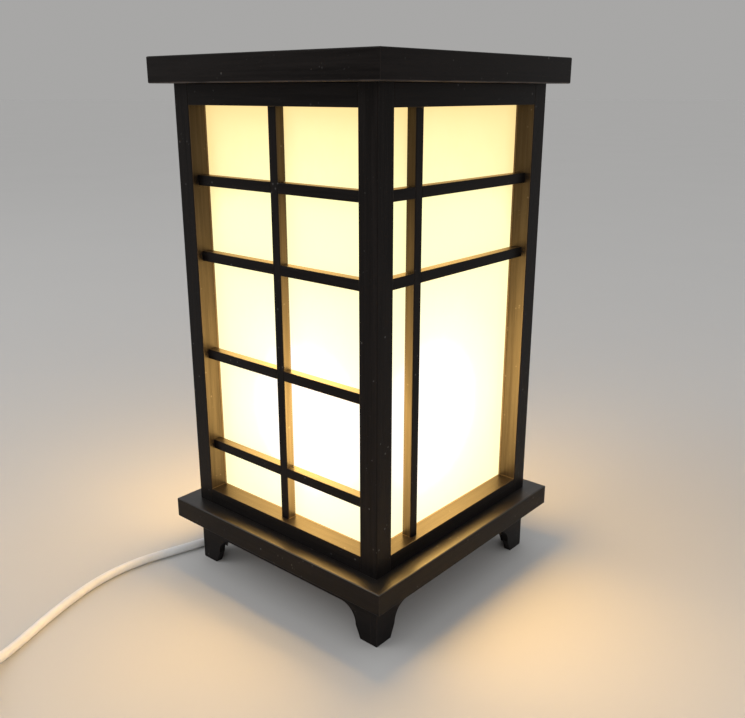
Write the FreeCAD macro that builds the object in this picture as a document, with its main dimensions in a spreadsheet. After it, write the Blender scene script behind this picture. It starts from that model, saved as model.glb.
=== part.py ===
"""Square wooden table lantern: posts and rails round four glowing sheets, with a lattice before each.

Millimetres, +Z up. The origin is on the floor, under the middle of the lantern. The front is -Y.
"""
import FreeCAD, Part
import math
import os
import re

import Sketcher

V = FreeCAD.Vector
UP = V(0, 0, 1)

# Driving sizes: name, value, what it is
SIZES = [
    ("foot_height", 33.5, "floor to the underside of the base frame"),
    ("slab_thickness", 14.5, "base frame, thickness"),
    ("body_height", 286, "base frame to cap"),
    ("cap_thickness", 16, "cap frame, thickness"),
    ("body_width", 168, "across the outer faces of the posts"),
    ("cap_width", 190, "cap frame, outside"),
    ("slab_width", 192, "base frame, outside"),
    ("cap_board", 23, "cap frame, a board's reach inwards from the outer faces of the posts"),
    ("slab_board", 22, "base frame, a board's reach inwards from the outer faces of the posts"),
    ("edge_round", 0.8, "rounding of the long outer edges of cap and base"),
    ("post_round", 0.6, "rounding of the outer edge of a post"),
    ("arris_round", 0.4, "rounding where posts and rails meet at the front, and round the openings"),
    ("panel_thickness", 5, "base panel that carries the lampholder"),
    ("panel_rebate", 6, "width of the rebate that the base panel lies in"),
    ("post_width", 13.5, "posts and rails, square section"),
    ("top_rail", 12.8, "height of the top rails"),
    ("bottom_rail", 10.7, "height of the bottom rails"),
    ("tenon_width", 6, "rail tenon, thickness"),
    ("tenon_depth", 3, "rail tenon, length"),
    ("tenon_setback", 4, "front of a post to the front of a tenon"),
    ("tenon_shoulder", 2, "rail edge to tenon edge"),
    ("fit_gap", 0.1, "play round a tenon, a lap, a dowel or a bar end"),
    ("bar_width", 6.6, "lattice bar, seen width"),
    ("bar_depth", 6.4, "lattice bar, front to back"),
    ("bar_setback", 4.5, "front of a post to the front of the lattice"),
    ("bar_housing", 2.2, "lattice bar, length let into a post or rail"),
    ("bar_round", 0.5, "rounding of a lattice bar's front edges"),
    ("bar_high", 58.9, "cap to the middle of the highest crossbar"),
    ("bar_upper", 108, "cap to the middle of the second crossbar"),
    ("bar_lower", 110.6, "base frame to the middle of the third crossbar"),
    ("bar_low", 44.2, "base frame to the middle of the lowest crossbar"),
    ("side_gap", 24.6, "side lattice: clear gap between the post and the upright"),
    ("sheet_thickness", 1, "translucent sheets"),
    ("strip_width", 8, "corner strips that hold the sheets"),
    ("bead_width", 5, "beads behind the rails that hold the sheets"),
    ("apron_thickness", 5, "foot boards, thickness"),
    ("foot_width", 13.5, "foot on the floor, along a board"),
    ("foot_flare", 4, "how much wider the foot is below its cove"),
    ("foot_straight", 9, "floor to the start of the cove"),
    ("cove_radius", 12.5, "cove between foot and apron"),
    ("block_width", 16, "corner glue blocks, along each board"),
    ("block_height", 20, "corner glue blocks, height"),
    ("dowel_diameter", 5, "dowels between rails and frames"),
    ("dowel_depth", 6.5, "length of a dowel in each piece"),
    ("dowel_spacing", 80, "between the two dowels of a rail"),
    ("tube_diameter", 10, "threaded tube under the lampholder"),
    ("tube_bore", 7.6, "bore of the threaded tube"),
    ("tube_below", 8, "threaded tube below the base panel"),
    ("nut_width", 14, "tube nuts, across flats"),
    ("nut_height", 4, "tube nuts, thickness"),
    ("holder_rise", 22, "base panel to the underside of the lampholder"),
    ("holder_height", 48, "lampholder"),
    ("holder_diameter", 40, "lampholder skirt"),
    ("holder_wall", 2.5, "lampholder skirt, wall"),
    ("holder_neck", 16, "lampholder neck, diameter"),
    ("holder_neck_height", 3, "lampholder neck, straight part"),
    ("holder_shoulder", 14, "underside of the lampholder to the top of its cone"),
    ("holder_entry", 10, "length of tube in the lampholder"),
    ("holder_floor", 18, "underside of the lampholder to its inside floor"),
    ("wire_hole", 6, "hole for the wires in the lampholder floor"),
    ("contact_diameter", 10, "centre contact of the lampholder"),
    ("contact_height", 4, "centre contact of the lampholder"),
    ("shell_height", 25, "screw shell of the lampholder"),
    ("shell_wall", 0.6, "screw shell, wall"),
    ("screw_gap", 0.4, "bulb cap to screw shell, and bulb tip to contact"),
    ("tip_diameter", 9, "contact tip of the bulb"),
    ("tip_height", 1.5, "contact tip of the bulb"),
    ("screw_diameter", 26.4, "screw cap of the bulb"),
    ("screw_start", 8, "bulb tip to the lowest thread"),
    ("screw_end", 26, "bulb tip to the top of the screw cap"),
    ("neck_height", 36, "bulb tip to the end of the glass neck"),
    ("neck_diameter", 29, "glass neck"),
    ("neck_curve", 68, "radius of the curve from neck to globe"),
    ("globe_height", 75, "bulb tip to the middle of the globe"),
    ("globe_diameter", 60, "globe of the bulb"),
    ("globe_angle", 35, "degrees below the middle where globe and neck meet"),
    ("glass_wall", 1, "wall of the glass"),
    ("cord_diameter", 6, "mains cord"),
    ("core_diameter", 2.4, "insulated wires inside the base"),
    ("core_spacing", 2.8, "between the two wires"),
    ("core_bend", 8, "radius where the wires turn up into the tube"),
    ("grip_turn", 20, "degrees from -X to the cord grip, round the tube"),
    ("grip_start", 18, "tube axis to the cord grip"),
    ("grip_block", 12, "cord grip, length of the screwed block"),
    ("grip_width", 22, "cord grip, width of the screwed block"),
    ("grip_sleeve", 22, "cord grip, length of the tapered sleeve"),
    ("grip_below", 7, "cord grip, block below the cord's axis"),
    ("sleeve_start", 12, "tapered sleeve, diameter at the block"),
    ("sleeve_end", 8.4, "tapered sleeve, diameter at its end"),
    ("exit_height", 16, "floor to the cord's axis in the grip"),
    ("switch_left", 67.1, "middle of the lantern to the start of the cord switch, to the left"),
    ("switch_front", 265.9, "middle of the lantern to the start of the cord switch, to the front"),
    ("switch_run", 11.5, "straight cord before the switch"),
    ("exit_run", 12, "straight cord after the grip"),
    ("switch_length", 54, "cord switch, along the cord"),
    ("switch_width", 26, "cord switch, across"),
    ("switch_height", 15, "cord switch, floor to top"),
    ("switch_neck", 11, "cord switch, width at its ends"),
    ("switch_taper", 9, "cord switch, length of each tapered end"),
    ("switch_round", 2, "cord switch, rounding of its top edges"),
    ("switch_axis", 7, "floor to the cord in the switch and the plug"),
    ("rocker_length", 19, "switch rocker"),
    ("rocker_width", 11, "switch rocker"),
    ("rocker_dip", 1.2, "hollow in the middle of the rocker's top"),
    ("rocker_depth", 2.6, "rocker axis to the underside of its ends"),
    ("rocker_below", 1, "top of the switch to the rocker's axis"),
    ("rocker_tilt", 8, "degrees that the rocker leans at rest"),
    ("rocker_gap", 0.4, "play round the rocker"),
    ("well_depth", 6, "well of the rocker below its axis"),
    ("link_length", 34, "cord between switch and coil"),
    ("link_run", 9, "straight cord at each end of the link"),
    ("coil_radius", 44.5, "coil, outermost turn to the middle of its cord"),
    ("coil_pitch", 6.7, "between turns, beside and above each other"),
    ("coil_loops", 7, "loops of the coil, counted with the part one"),
    ("tie_width", 10, "band round the coil"),
    ("tie_thickness", 0.8, "band round the coil"),
    ("tie_gap", 0.4, "band to cord"),
    ("tie_round", 3, "inside corners of the band"),
    ("tie_slack", 1, "play of the band beside the turns"),
    ("tie_angle", 280, "degrees round the coil to the band"),
    ("tail_length", 36, "cord between coil and plug"),
    ("tail_run", 10, "straight cord at each end of the tail"),
    ("plug_angle", 12, "degrees that the plug points to the left of +Y"),
    ("plug_length", 42, "plug body"),
    ("plug_width", 35, "plug body"),
    ("plug_thickness", 14, "plug body"),
    ("plug_neck", 10, "plug body, width where the cord enters"),
    ("plug_neck_length", 13, "plug body, narrow part"),
    ("plug_shoulder", 25, "plug body, cord end to its full width"),
    ("plug_round", 2, "plug body, rounding of its edges"),
    ("pin_diameter", 4, "plug pins"),
    ("pin_length", 19, "plug pins"),
    ("pin_spacing", 19, "between the plug pins"),
]

doc = FreeCAD.newDocument("lantern")
size = doc.addObject("Spreadsheet::Sheet", "size")
for row, (alias, value, words) in enumerate(SIZES, start=1):
    size.set("A%d" % row, words)
    size.set("B%d" % row, str(value))
    size.setAlias("B%d" % row, alias)
doc.recompute()

# Heights and half widths that many pieces share
SLAB_TOP = "(foot_height + slab_thickness)"
CAP_BOTTOM = "(foot_height + slab_thickness + body_height)"
HALF = "(body_width / 2)"
INSIDE = "(body_width / 2 - post_width)"
SHEET_BACK = "(body_width / 2 - post_width - sheet_thickness)"
STRIP_BACK = "(body_width / 2 - post_width - sheet_thickness - strip_width)"
PANEL_TOP = "(foot_height + panel_thickness)"
HOLDER = "(foot_height + panel_thickness + holder_rise)"
BULB = "(foot_height + panel_thickness + holder_rise + holder_floor + contact_height + screw_gap)"
SCREW = "(screw_diameter / 2)"
CAP_INSIDE = "(body_width / 2 - cap_board)"
SLAB_INSIDE = "(body_width / 2 - slab_board)"
CORD_Z = "(cord_diameter / 2)"

LEVELS = ["body_height - bar_high", "body_height - bar_upper", "bar_lower", "bar_low"]
SIDES = {"front": 0, "right": 90, "back": 180, "left": 270}
CORNERS = {"front_right": 0, "back_right": 90, "back_left": 180, "front_left": 270}

pieces = []
ALIAS = re.compile(r"[a-z]+(?:_[a-z]+)+")


def formula(words):
    """A formula of named sizes, written as the sheet's cells."""
    return ALIAS.sub(r"size.\g<0>", str(words))


def worth(words):
    """What a formula of named sizes comes to."""
    return float(size.evalExpression(formula(words)))


def new_body(label, turn=0.0):
    """An empty body, turned about the lantern's axis."""
    body = doc.addObject("PartDesign::Body", label)
    body.Label = label
    body.AllowCompound = True
    body.Placement = FreeCAD.Placement(V(0, 0, 0), FreeCAD.Rotation(UP, turn))
    pieces.append(body)
    return body


def sketch_on(body, plane, lift=0):
    """An empty sketch on one of the body's own planes, lifted along its normal."""
    sketch = body.newObject("Sketcher::SketchObject", "outline")
    support = [feature for feature in body.Origin.OriginFeatures if feature.Role == plane]
    sketch.AttachmentSupport = [(support[0], "")]
    sketch.MapMode = "FlatFace"
    sketch.setExpression("AttachmentOffset.Base.z", formula(lift))
    return sketch


def bind(sketch, constraint, words):
    """Add a dimension and bind it to the sheet."""
    number = sketch.addConstraint(constraint)
    sketch.setExpression("Constraints[%d]" % number, formula(words))


def arc_between(start, end, radius, sense):
    """The shorter arc from start to end; sense is 1 where it runs counter-clockwise."""
    chord = end - start
    middle = (start + end) / 2
    rise = math.sqrt(max(radius**2 - chord.Length**2 / 4, 0))
    centre = middle + V(-chord.y, chord.x, 0).normalize() * rise * sense
    first, last = (start, end) if sense > 0 else (end, start)
    angles = [math.atan2(p.y - centre.y, p.x - centre.x) for p in (first, last)]
    return Part.ArcOfCircle(Part.Circle(centre, UP, radius), *angles)


def add_loop(sketch, corners):
    """A closed loop, each corner placed by formulas.

    A corner is (x, y), or (x, y, radius, sense) where an arc leads to the next one.
    """
    base = sketch.GeometryCount
    count = len(corners)
    places = [V(worth(corner[0]), worth(corner[1]), 0) for corner in corners]
    heads = []
    for number, corner in enumerate(corners):
        start, end = places[number], places[(number + 1) % count]
        if len(corner) == 2:
            sketch.addGeometry(Part.LineSegment(start, end), False)
            heads.append(1)
        else:
            sketch.addGeometry(arc_between(start, end, worth(corner[2]), corner[3]), False)
            heads.append(1 if corner[3] > 0 else 2)
    for number, corner in enumerate(corners):
        after = (number + 1) % count
        edge = base + number
        joined = Sketcher.Constraint("Coincident", edge, 3 - heads[number], base + after, heads[after])
        sketch.addConstraint(joined)
        place = places[number]
        bind(sketch, Sketcher.Constraint("DistanceX", -1, 1, edge, heads[number], place.x), corner[0])
        bind(sketch, Sketcher.Constraint("DistanceY", -1, 1, edge, heads[number], place.y), corner[1])
        if len(corner) > 2:
            bind(sketch, Sketcher.Constraint("Radius", edge, worth(corner[2])), corner[2])


def add_box(sketch, left, right, low, high):
    """A rectangle."""
    add_loop(sketch, [(left, low), (right, low), (right, high), (left, high)])


def add_circle(sketch, x, y, diameter):
    """A circle."""
    place = V(worth(x), worth(y), 0)
    edge = sketch.addGeometry(Part.Circle(place, UP, worth(diameter) / 2), False)
    bind(sketch, Sketcher.Constraint("DistanceX", -1, 1, edge, 3, place.x), x)
    bind(sketch, Sketcher.Constraint("DistanceY", -1, 1, edge, 3, place.y), y)
    bind(sketch, Sketcher.Constraint("Diameter", edge, worth(diameter)), diameter)


def pad(body, sketch, length):
    """Material from the sketch, along its normal."""
    feature = body.newObject("PartDesign::Pad", "pad")
    feature.Profile = sketch
    feature.setExpression("Length", formula(length))
    doc.recompute()
    return feature


def pocket(body, sketch, depth, along=False):
    """A cut from the sketch, against its normal or along it."""
    before = body.Shape.Volume
    feature = body.newObject("PartDesign::Pocket", "pocket")
    feature.Profile = sketch
    feature.setExpression("Length", formula(depth))
    feature.Reversed = along
    doc.recompute()
    if body.Shape.Volume > before - 1e-6:
        raise RuntimeError("a pocket of %s cuts nothing" % body.Label)
    return feature


def soften(body, feature, radius, chosen):
    """Round the feature's edges that the test chooses."""
    names = ["Edge%d" % n for n, edge in enumerate(feature.Shape.Edges, start=1) if chosen(edge)]
    rounded = body.newObject("PartDesign::Fillet", "rounded")
    rounded.Base = (feature, names)
    rounded.setExpression("Radius", formula(radius))
    doc.recompute()
    return rounded


def turned(label, corners):
    """A turned piece: a profile of (radius, height) revolved about the lantern's axis."""
    body = new_body(label)
    profile = sketch_on(body, "XZ_Plane")
    add_loop(profile, corners)
    feature = body.newObject("PartDesign::Revolution", "turned")
    feature.Profile = profile
    feature.ReferenceAxis = (profile, ["V_Axis"])
    feature.Angle = 360
    doc.recompute()
    return body


def runs_along_x(edge, y, heights):
    """Whether an edge runs along X at that y and one of the heights."""
    points = [vertex.Point for vertex in edge.Vertexes]
    if len(points) < 2 or abs(points[0].x - points[1].x) < 1:
        return False
    level = any(all(abs(p.z - height) < 1e-4 for p in points) for height in heights)
    return level and all(abs(p.y - y) < 1e-4 for p in points)


def frame_board(label, turn, width, inner, low, thickness):
    """One mitred board of a square frame, with its long outer edges rounded."""
    body = new_body(label, turn)
    outline = sketch_on(body, "XY_Plane", low)
    outer = "(%s / 2)" % width
    add_loop(outline, [
        ("-" + outer, "-" + outer), (outer, "-" + outer),
        (inner, "-" + inner), ("-" + inner, "-" + inner),
    ])
    solid = pad(body, outline, thickness)
    heights = [worth(low), worth("%s + %s" % (low, thickness))]
    soften(body, solid, "edge_round", lambda edge: runs_along_x(edge, -worth(outer), heights))
    return body


def dowel_holes(body, face, upward):
    """Two blind holes over the middle of a rail."""
    holes = sketch_on(body, "XY_Plane", face)
    for sign in ("-", ""):
        place = "%sdowel_spacing / 2" % sign
        add_circle(holes, place, "-(body_width / 2 - post_width / 2)", "dowel_diameter + 2 * fit_gap")
    pocket(body, holes, "dowel_depth + fit_gap", along=upward)


def cap_board(side, turn):
    """A board of the cap frame."""
    body = frame_board("cap_board_" + side, turn, "cap_width", CAP_INSIDE, CAP_BOTTOM, "cap_thickness")
    dowel_holes(body, CAP_BOTTOM, upward=True)


def base_board(side, turn):
    """A board of the base frame, rebated below for the base panel."""
    label = "base_board_" + side
    body = frame_board(label, turn, "slab_width", SLAB_INSIDE, "foot_height", "slab_thickness")
    dowel_holes(body, SLAB_TOP, upward=False)
    rebate = sketch_on(body, "XY_Plane", "foot_height")
    wide = "(%s + panel_rebate)" % SLAB_INSIDE
    add_loop(rebate, [
        ("-" + wide, "-" + wide), (wide, "-" + wide),
        (SLAB_INSIDE, "-" + SLAB_INSIDE), ("-" + SLAB_INSIDE, "-" + SLAB_INSIDE),
    ])
    pocket(body, rebate, "panel_thickness", along=True)


def base_panel():
    """The thin board in the base frame, with a hole for the threaded tube."""
    body = new_body("base_panel")
    outline = sketch_on(body, "XY_Plane", "foot_height")
    edge = "(%s + panel_rebate - fit_gap)" % SLAB_INSIDE
    add_box(outline, "-" + edge, edge, "-" + edge, edge)
    add_circle(outline, 0, 0, "tube_diameter + 2 * fit_gap")
    pad(body, outline, "panel_thickness")


def add_mortises(sketch, front, back):
    """Mouths of the two rail mortises between two depths from the post's outer face."""
    rails = [(SLAB_TOP, "%s + bottom_rail" % SLAB_TOP), ("%s - top_rail" % CAP_BOTTOM, CAP_BOTTOM)]
    for low, high in rails:
        shoulder = "(tenon_shoulder - fit_gap)"
        add_box(sketch, front, back, "%s + %s" % (low, shoulder), "%s - %s" % (high, shoulder))


def add_housings(sketch, front, back, levels):
    """Mouths of the housings for the crossbars' ends."""
    for level in levels:
        middle = "%s + %s" % (SLAB_TOP, level)
        reach = "(bar_width / 2 + fit_gap)"
        add_box(sketch, front, back, "%s - %s" % (middle, reach), "%s + %s" % (middle, reach))


def stands_at(edge, right, front):
    """Whether an edge stands upright at that place."""
    x, y = worth(right), -worth(front)
    return all(math.hypot(v.X - x, v.Y - y) < 1e-4 for v in edge.Vertexes)


def post(corner, turn, across_levels, along_levels):
    """A corner post with mortises for four rails and housings for the crossbars."""
    body = new_body("post_" + corner, turn)
    section = sketch_on(body, "XY_Plane", SLAB_TOP)
    add_box(section, INSIDE, HALF, "-" + HALF, "-" + INSIDE)
    solid = pad(body, section, "body_height")
    solid = soften(body, solid, "post_round", lambda edge: stands_at(edge, HALF, HALF))
    soften(body, solid, "arris_round",
           lambda edge: stands_at(edge, INSIDE, HALF) or stands_at(edge, HALF, INSIDE))
    tenon = ["(%s - tenon_setback + fit_gap)" % HALF, "(%s - tenon_setback - tenon_width - fit_gap)" % HALF]
    bar = ["(%s - bar_setback + fit_gap)" % HALF, "(%s - bar_setback - bar_depth - fit_gap)" % HALF]
    mouths = [
        ("YZ_Plane", "-" + tenon[0], "-" + tenon[1], "-" + bar[0], "-" + bar[1], across_levels),
        ("XZ_Plane", tenon[1], tenon[0], bar[1], bar[0], along_levels),
    ]
    for plane, tenon_front, tenon_back, bar_front, bar_back, levels in mouths:
        mortises = sketch_on(body, plane, INSIDE)
        add_mortises(mortises, tenon_front, tenon_back)
        pocket(body, mortises, "tenon_depth + 2 * fit_gap", along=True)
        housings = sketch_on(body, plane, INSIDE)
        add_housings(housings, bar_front, bar_back, levels)
        pocket(body, housings, "bar_housing + fit_gap", along=True)


def lies_in_front(edge, face):
    """Whether an edge lies in a front face that far from the lantern's axis."""
    return all(abs(v.Y + worth(face)) < 1e-4 for v in edge.Vertexes)


def rail(label, turn, low, height, upright, upward):
    """A rail with a stub tenon at each end, dowel holes and a housing for the upright."""
    body = new_body(label, turn)
    high = "%s + %s" % (low, height)
    front = sketch_on(body, "XZ_Plane", INSIDE)
    add_box(front, "-" + INSIDE, INSIDE, low, high)
    solid = pad(body, front, "post_width")
    soften(body, solid, "arris_round", lambda edge: lies_in_front(edge, HALF))
    tenons = sketch_on(body, "XZ_Plane", "%s - tenon_setback - tenon_width" % HALF)
    reach = "(%s + tenon_depth)" % INSIDE
    add_box(tenons, "-" + reach, reach, "%s + tenon_shoulder" % low, "%s - tenon_shoulder" % high)
    pad(body, tenons, "tenon_width")
    dowel_holes(body, high if upward else low, upward=not upward)
    housing = sketch_on(body, "XY_Plane", low if upward else high)
    reach = "(bar_width / 2 + fit_gap)"
    add_box(
        housing, "%s - %s" % (upright, reach), "%s + %s" % (upright, reach),
        "-(%s - bar_setback + fit_gap)" % HALF, "-(%s - bar_setback - bar_depth - fit_gap)" % HALF,
    )
    pocket(body, housing, "bar_housing + fit_gap", along=upward)


def front_edges(edge):
    """Whether an edge is one of a lattice bar's long front edges."""
    return edge.Length > 2 * worth("bar_width") and lies_in_front(edge, "%s - bar_setback" % HALF)


def lattice_upright(side, turn, middle, levels):
    """The upright of a lattice, halved from behind where the crossbars pass."""
    body = new_body(side + "_lattice_upright", turn)
    front = sketch_on(body, "XZ_Plane", "%s - bar_setback - bar_depth" % HALF)
    half = "(bar_width / 2)"
    low = "%s + bottom_rail - bar_housing" % SLAB_TOP
    high = "%s - top_rail + bar_housing" % CAP_BOTTOM
    add_box(front, "%s - %s" % (middle, half), "%s + %s" % (middle, half), low, high)
    solid = pad(body, front, "bar_depth")
    soften(body, solid, "bar_round", front_edges)
    laps = sketch_on(body, "XZ_Plane", "%s - bar_setback - bar_depth" % HALF)
    for level in levels:
        place = "(%s + %s)" % (SLAB_TOP, level)
        reach = "(bar_width / 2 + fit_gap)"
        add_box(
            laps, "%s - bar_width" % middle, "%s + bar_width" % middle,
            "%s - %s" % (place, reach), "%s + %s" % (place, reach),
        )
    pocket(body, laps, "bar_depth / 2 + fit_gap / 2", along=True)


def crossbars(side, turn, middle, levels):
    """The crossbars of a lattice, halved from the front where the upright passes."""
    body = new_body(side + "_crossbars", turn)
    front = sketch_on(body, "XZ_Plane", "%s - bar_setback - bar_depth" % HALF)
    reach = "(%s + bar_housing)" % INSIDE
    half = "(bar_width / 2)"
    for level in levels:
        place = "(%s + %s)" % (SLAB_TOP, level)
        add_box(front, "-" + reach, reach, "%s - %s" % (place, half), "%s + %s" % (place, half))
    solid = pad(body, front, "bar_depth")
    soften(body, solid, "bar_round", front_edges)
    laps = sketch_on(body, "XZ_Plane", "%s - bar_setback" % HALF)
    lap = "(bar_width / 2 + fit_gap)"
    for level in levels:
        place = "(%s + %s)" % (SLAB_TOP, level)
        add_box(
            laps, "%s - %s" % (middle, lap), "%s + %s" % (middle, lap),
            "%s - bar_width" % place, "%s + bar_width" % place,
        )
    pocket(body, laps, "bar_depth / 2 + fit_gap / 2")


def sheet(side, turn, reach):
    """A translucent sheet behind the rails of one side."""
    body = new_body(side + "_sheet", turn)
    outline = sketch_on(body, "XZ_Plane", SHEET_BACK)
    add_box(outline, "-" + reach, reach, SLAB_TOP, CAP_BOTTOM)
    pad(body, outline, "sheet_thickness")


def sheet_strips():
    """Corner strips and beads that hold the sheets from inside."""
    body = new_body("sheet_strips")
    corners = sketch_on(body, "XY_Plane", SLAB_TOP)
    for left, right in (("-" + SHEET_BACK, "-" + STRIP_BACK), (STRIP_BACK, SHEET_BACK)):
        for low, high in (("-" + SHEET_BACK, "-" + STRIP_BACK), (STRIP_BACK, SHEET_BACK)):
            add_box(corners, left, right, low, high)
    pad(body, corners, "body_height")
    reach = "(%s - 2 * fit_gap)" % STRIP_BACK
    bead = "(%s - bead_width)" % SHEET_BACK
    for lift in (SLAB_TOP, "%s - bead_width" % CAP_BOTTOM):
        beads = sketch_on(body, "XY_Plane", lift)
        add_box(beads, "-" + reach, reach, "-" + SHEET_BACK, "-" + bead)
        add_box(beads, "-" + reach, reach, bead, SHEET_BACK)
        add_box(beads, "-" + SHEET_BACK, "-" + bead, "-" + reach, reach)
        add_box(beads, bead, SHEET_BACK, "-" + reach, reach)
        pad(body, beads, "bead_width")


def foot_board(side, turn, end):
    """A board under the base: a foot at each end, and an apron between two coves."""
    body = new_body("foot_board_" + side, turn)
    outline = sketch_on(body, "XZ_Plane", "%s - apron_thickness" % HALF)
    toe = "(%s - foot_width)" % HALF
    heel = "(%s - foot_width - foot_flare)" % HALF
    arch = "(%s - foot_width - foot_flare - cove_radius)" % HALF
    crown = "(foot_straight + cove_radius)"
    add_loop(outline, [
        ("-" + end, 0), ("-" + toe, 0),
        ("-" + heel, "foot_straight", "cove_radius", -1), ("-" + arch, crown),
        (arch, crown, "cove_radius", -1), (heel, "foot_straight"),
        (toe, 0), (end, 0),
        (end, "foot_height"), ("-" + end, "foot_height"),
    ])
    pad(body, outline, "apron_thickness")


def corner_blocks():
    """Three-cornered glue blocks where the foot boards meet."""
    body = new_body("corner_blocks")
    blocks = sketch_on(body, "XY_Plane", "foot_height - block_height")
    corner = "(%s - apron_thickness)" % HALF
    near = "(%s - apron_thickness - block_width)" % HALF
    for x in ("-", ""):
        for y in ("-", ""):
            add_loop(blocks, [(x + corner, y + corner), (x + near, y + corner), (x + corner, y + near)])
    pad(body, blocks, "block_height")


def dowels():
    """Dowels between the rails and the cap and base frames."""
    body = new_body("dowels")
    line = "(body_width / 2 - post_width / 2)"
    half = "(dowel_spacing / 2)"
    for joint in (SLAB_TOP, CAP_BOTTOM):
        circles = sketch_on(body, "XY_Plane", "%s - dowel_depth" % joint)
        for along in ("-" + half, half):
            for across in ("-" + line, line):
                add_circle(circles, along, across, "dowel_diameter")
                add_circle(circles, across, along, "dowel_diameter")
        pad(body, circles, "2 * dowel_depth")


def holder_tube():
    low = "(foot_height - tube_below)"
    high = "(%s + holder_entry)" % HOLDER
    bore, outside = "tube_bore / 2", "tube_diameter / 2"
    turned("holder_tube", [(bore, low), (outside, low), (outside, high), (bore, high)])


def tube_nuts():
    """Six-sided nuts above and below the base panel."""
    body = new_body("tube_nuts")
    for lift in ("foot_height - nut_height", PANEL_TOP):
        outline = sketch_on(body, "XY_Plane", lift)
        flat, point = "(nut_width / 2)", "(nut_width / sqrt(3))"
        add_loop(outline, [
            (flat, "-%s / 2" % point), (flat, "%s / 2" % point), (0, point),
            ("-" + flat, "%s / 2" % point), ("-" + flat, "-%s / 2" % point), (0, "-" + point),
        ])
        add_circle(outline, 0, 0, "tube_diameter + 2 * fit_gap")
        pad(body, outline, "nut_height")


def lampholder():
    """The lampholder's moulded body, its screw shell and its centre contact."""
    skirt, inside = "holder_diameter / 2", "(holder_diameter / 2 - holder_wall)"
    neck, entry = "holder_neck / 2", "(tube_diameter / 2 + fit_gap)"
    floor = "(%s + holder_floor)" % HOLDER
    top = "(%s + holder_height)" % HOLDER
    turned("holder_body", [
        (entry, HOLDER), (neck, HOLDER), (neck, "%s + holder_neck_height" % HOLDER),
        (skirt, "%s + holder_shoulder" % HOLDER), (skirt, top), (inside, top), (inside, floor),
        ("wire_hole / 2", floor), ("wire_hole / 2", "%s + holder_entry" % HOLDER),
        (entry, "%s + holder_entry" % HOLDER),
    ])
    inner = "(%s + screw_gap)" % SCREW
    outer = "(%s + screw_gap + shell_wall)" % SCREW
    rim = "%s + shell_height" % floor
    turned("holder_shell", [(inner, floor), (outer, floor), (outer, rim), (inner, rim)])
    contact_top = "%s + contact_height" % floor
    edge = "contact_diameter / 2"
    turned("holder_contact", [(0, floor), (edge, floor), (edge, contact_top), (0, contact_top)])


def bulb():
    """A frosted bulb: contact tip, screw cap and blown glass."""
    tip, tip_top = "tip_diameter / 2", "%s + tip_height" % BULB
    turned("bulb_contact", [(0, BULB), (tip, BULB), (tip, tip_top), (0, tip_top)])
    screw_top = "%s + screw_end" % BULB
    turned("bulb_cap", [
        (0, tip_top), (tip, tip_top), (SCREW, "%s + screw_start" % BULB),
        (SCREW, screw_top), (0, screw_top),
    ])
    middle = "(%s + globe_height)" % BULB
    globe, inside = "(globe_diameter / 2)", "(globe_diameter / 2 - glass_wall)"
    neck, neck_inside = "neck_diameter / 2", "neck_diameter / 2 - glass_wall"
    shoulder = "%s + neck_height" % BULB
    turned("bulb_glass", [
        (SCREW, screw_top), (neck, shoulder, "neck_curve", -1),
        ("%s * cos(globe_angle)" % globe, "%s - %s * sin(globe_angle)" % (middle, globe), globe, 1),
        (0, "%s + %s" % (middle, globe)),
        (0, "%s + %s" % (middle, inside), inside, -1),
        ("%s * cos(globe_angle)" % inside, "%s - %s * sin(globe_angle)" % (middle, inside),
         "neck_curve + glass_wall", 1),
        (neck_inside, shoulder), ("%s - glass_wall" % SCREW, screw_top),
    ])


def cord_grip():
    """The cord's anchor under the base panel, with a tapered sleeve."""
    body = new_body("cord_grip", worth("grip_turn"))
    block = sketch_on(body, "YZ_Plane", "-(grip_start + grip_block)")
    add_box(block, "-grip_width / 2", "grip_width / 2", "exit_height - grip_below", "foot_height")
    pad(body, block, "grip_block")
    wide = sketch_on(body, "YZ_Plane", "-(grip_start + grip_block)")
    add_circle(wide, 0, "exit_height", "sleeve_start")
    narrow = sketch_on(body, "YZ_Plane", "-(grip_start + grip_block + grip_sleeve)")
    add_circle(narrow, 0, "exit_height", "sleeve_end")
    sleeve = body.newObject("PartDesign::AdditiveLoft", "sleeve")
    sleeve.Profile = wide
    sleeve.Sections = [narrow]
    doc.recompute()


def solid_piece(label, shape):
    """A piece whose shape is set straight from Part's own functions."""
    piece = doc.addObject("Part::Feature", label)
    piece.Label = label
    piece.Shape = shape
    pieces.append(piece)
    return piece


def swept(wire, diameter):
    """A round tube along a wire, with its volume compared with section times length."""
    start = wire.OrderedEdges[0]
    place = start.valueAt(start.FirstParameter)
    section = Part.Wire(Part.makeCircle(diameter / 2, place, start.tangentAt(start.FirstParameter)))
    tube = wire.makePipeShell([section], True, False)
    expected = math.pi * diameter**2 / 4 * wire.Length
    if abs(tube.Volume / expected - 1) > 0.01 or not tube.isValid():
        raise RuntimeError("a tube holds %.1f, not %.1f" % (tube.Volume, expected))
    return tube


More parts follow.
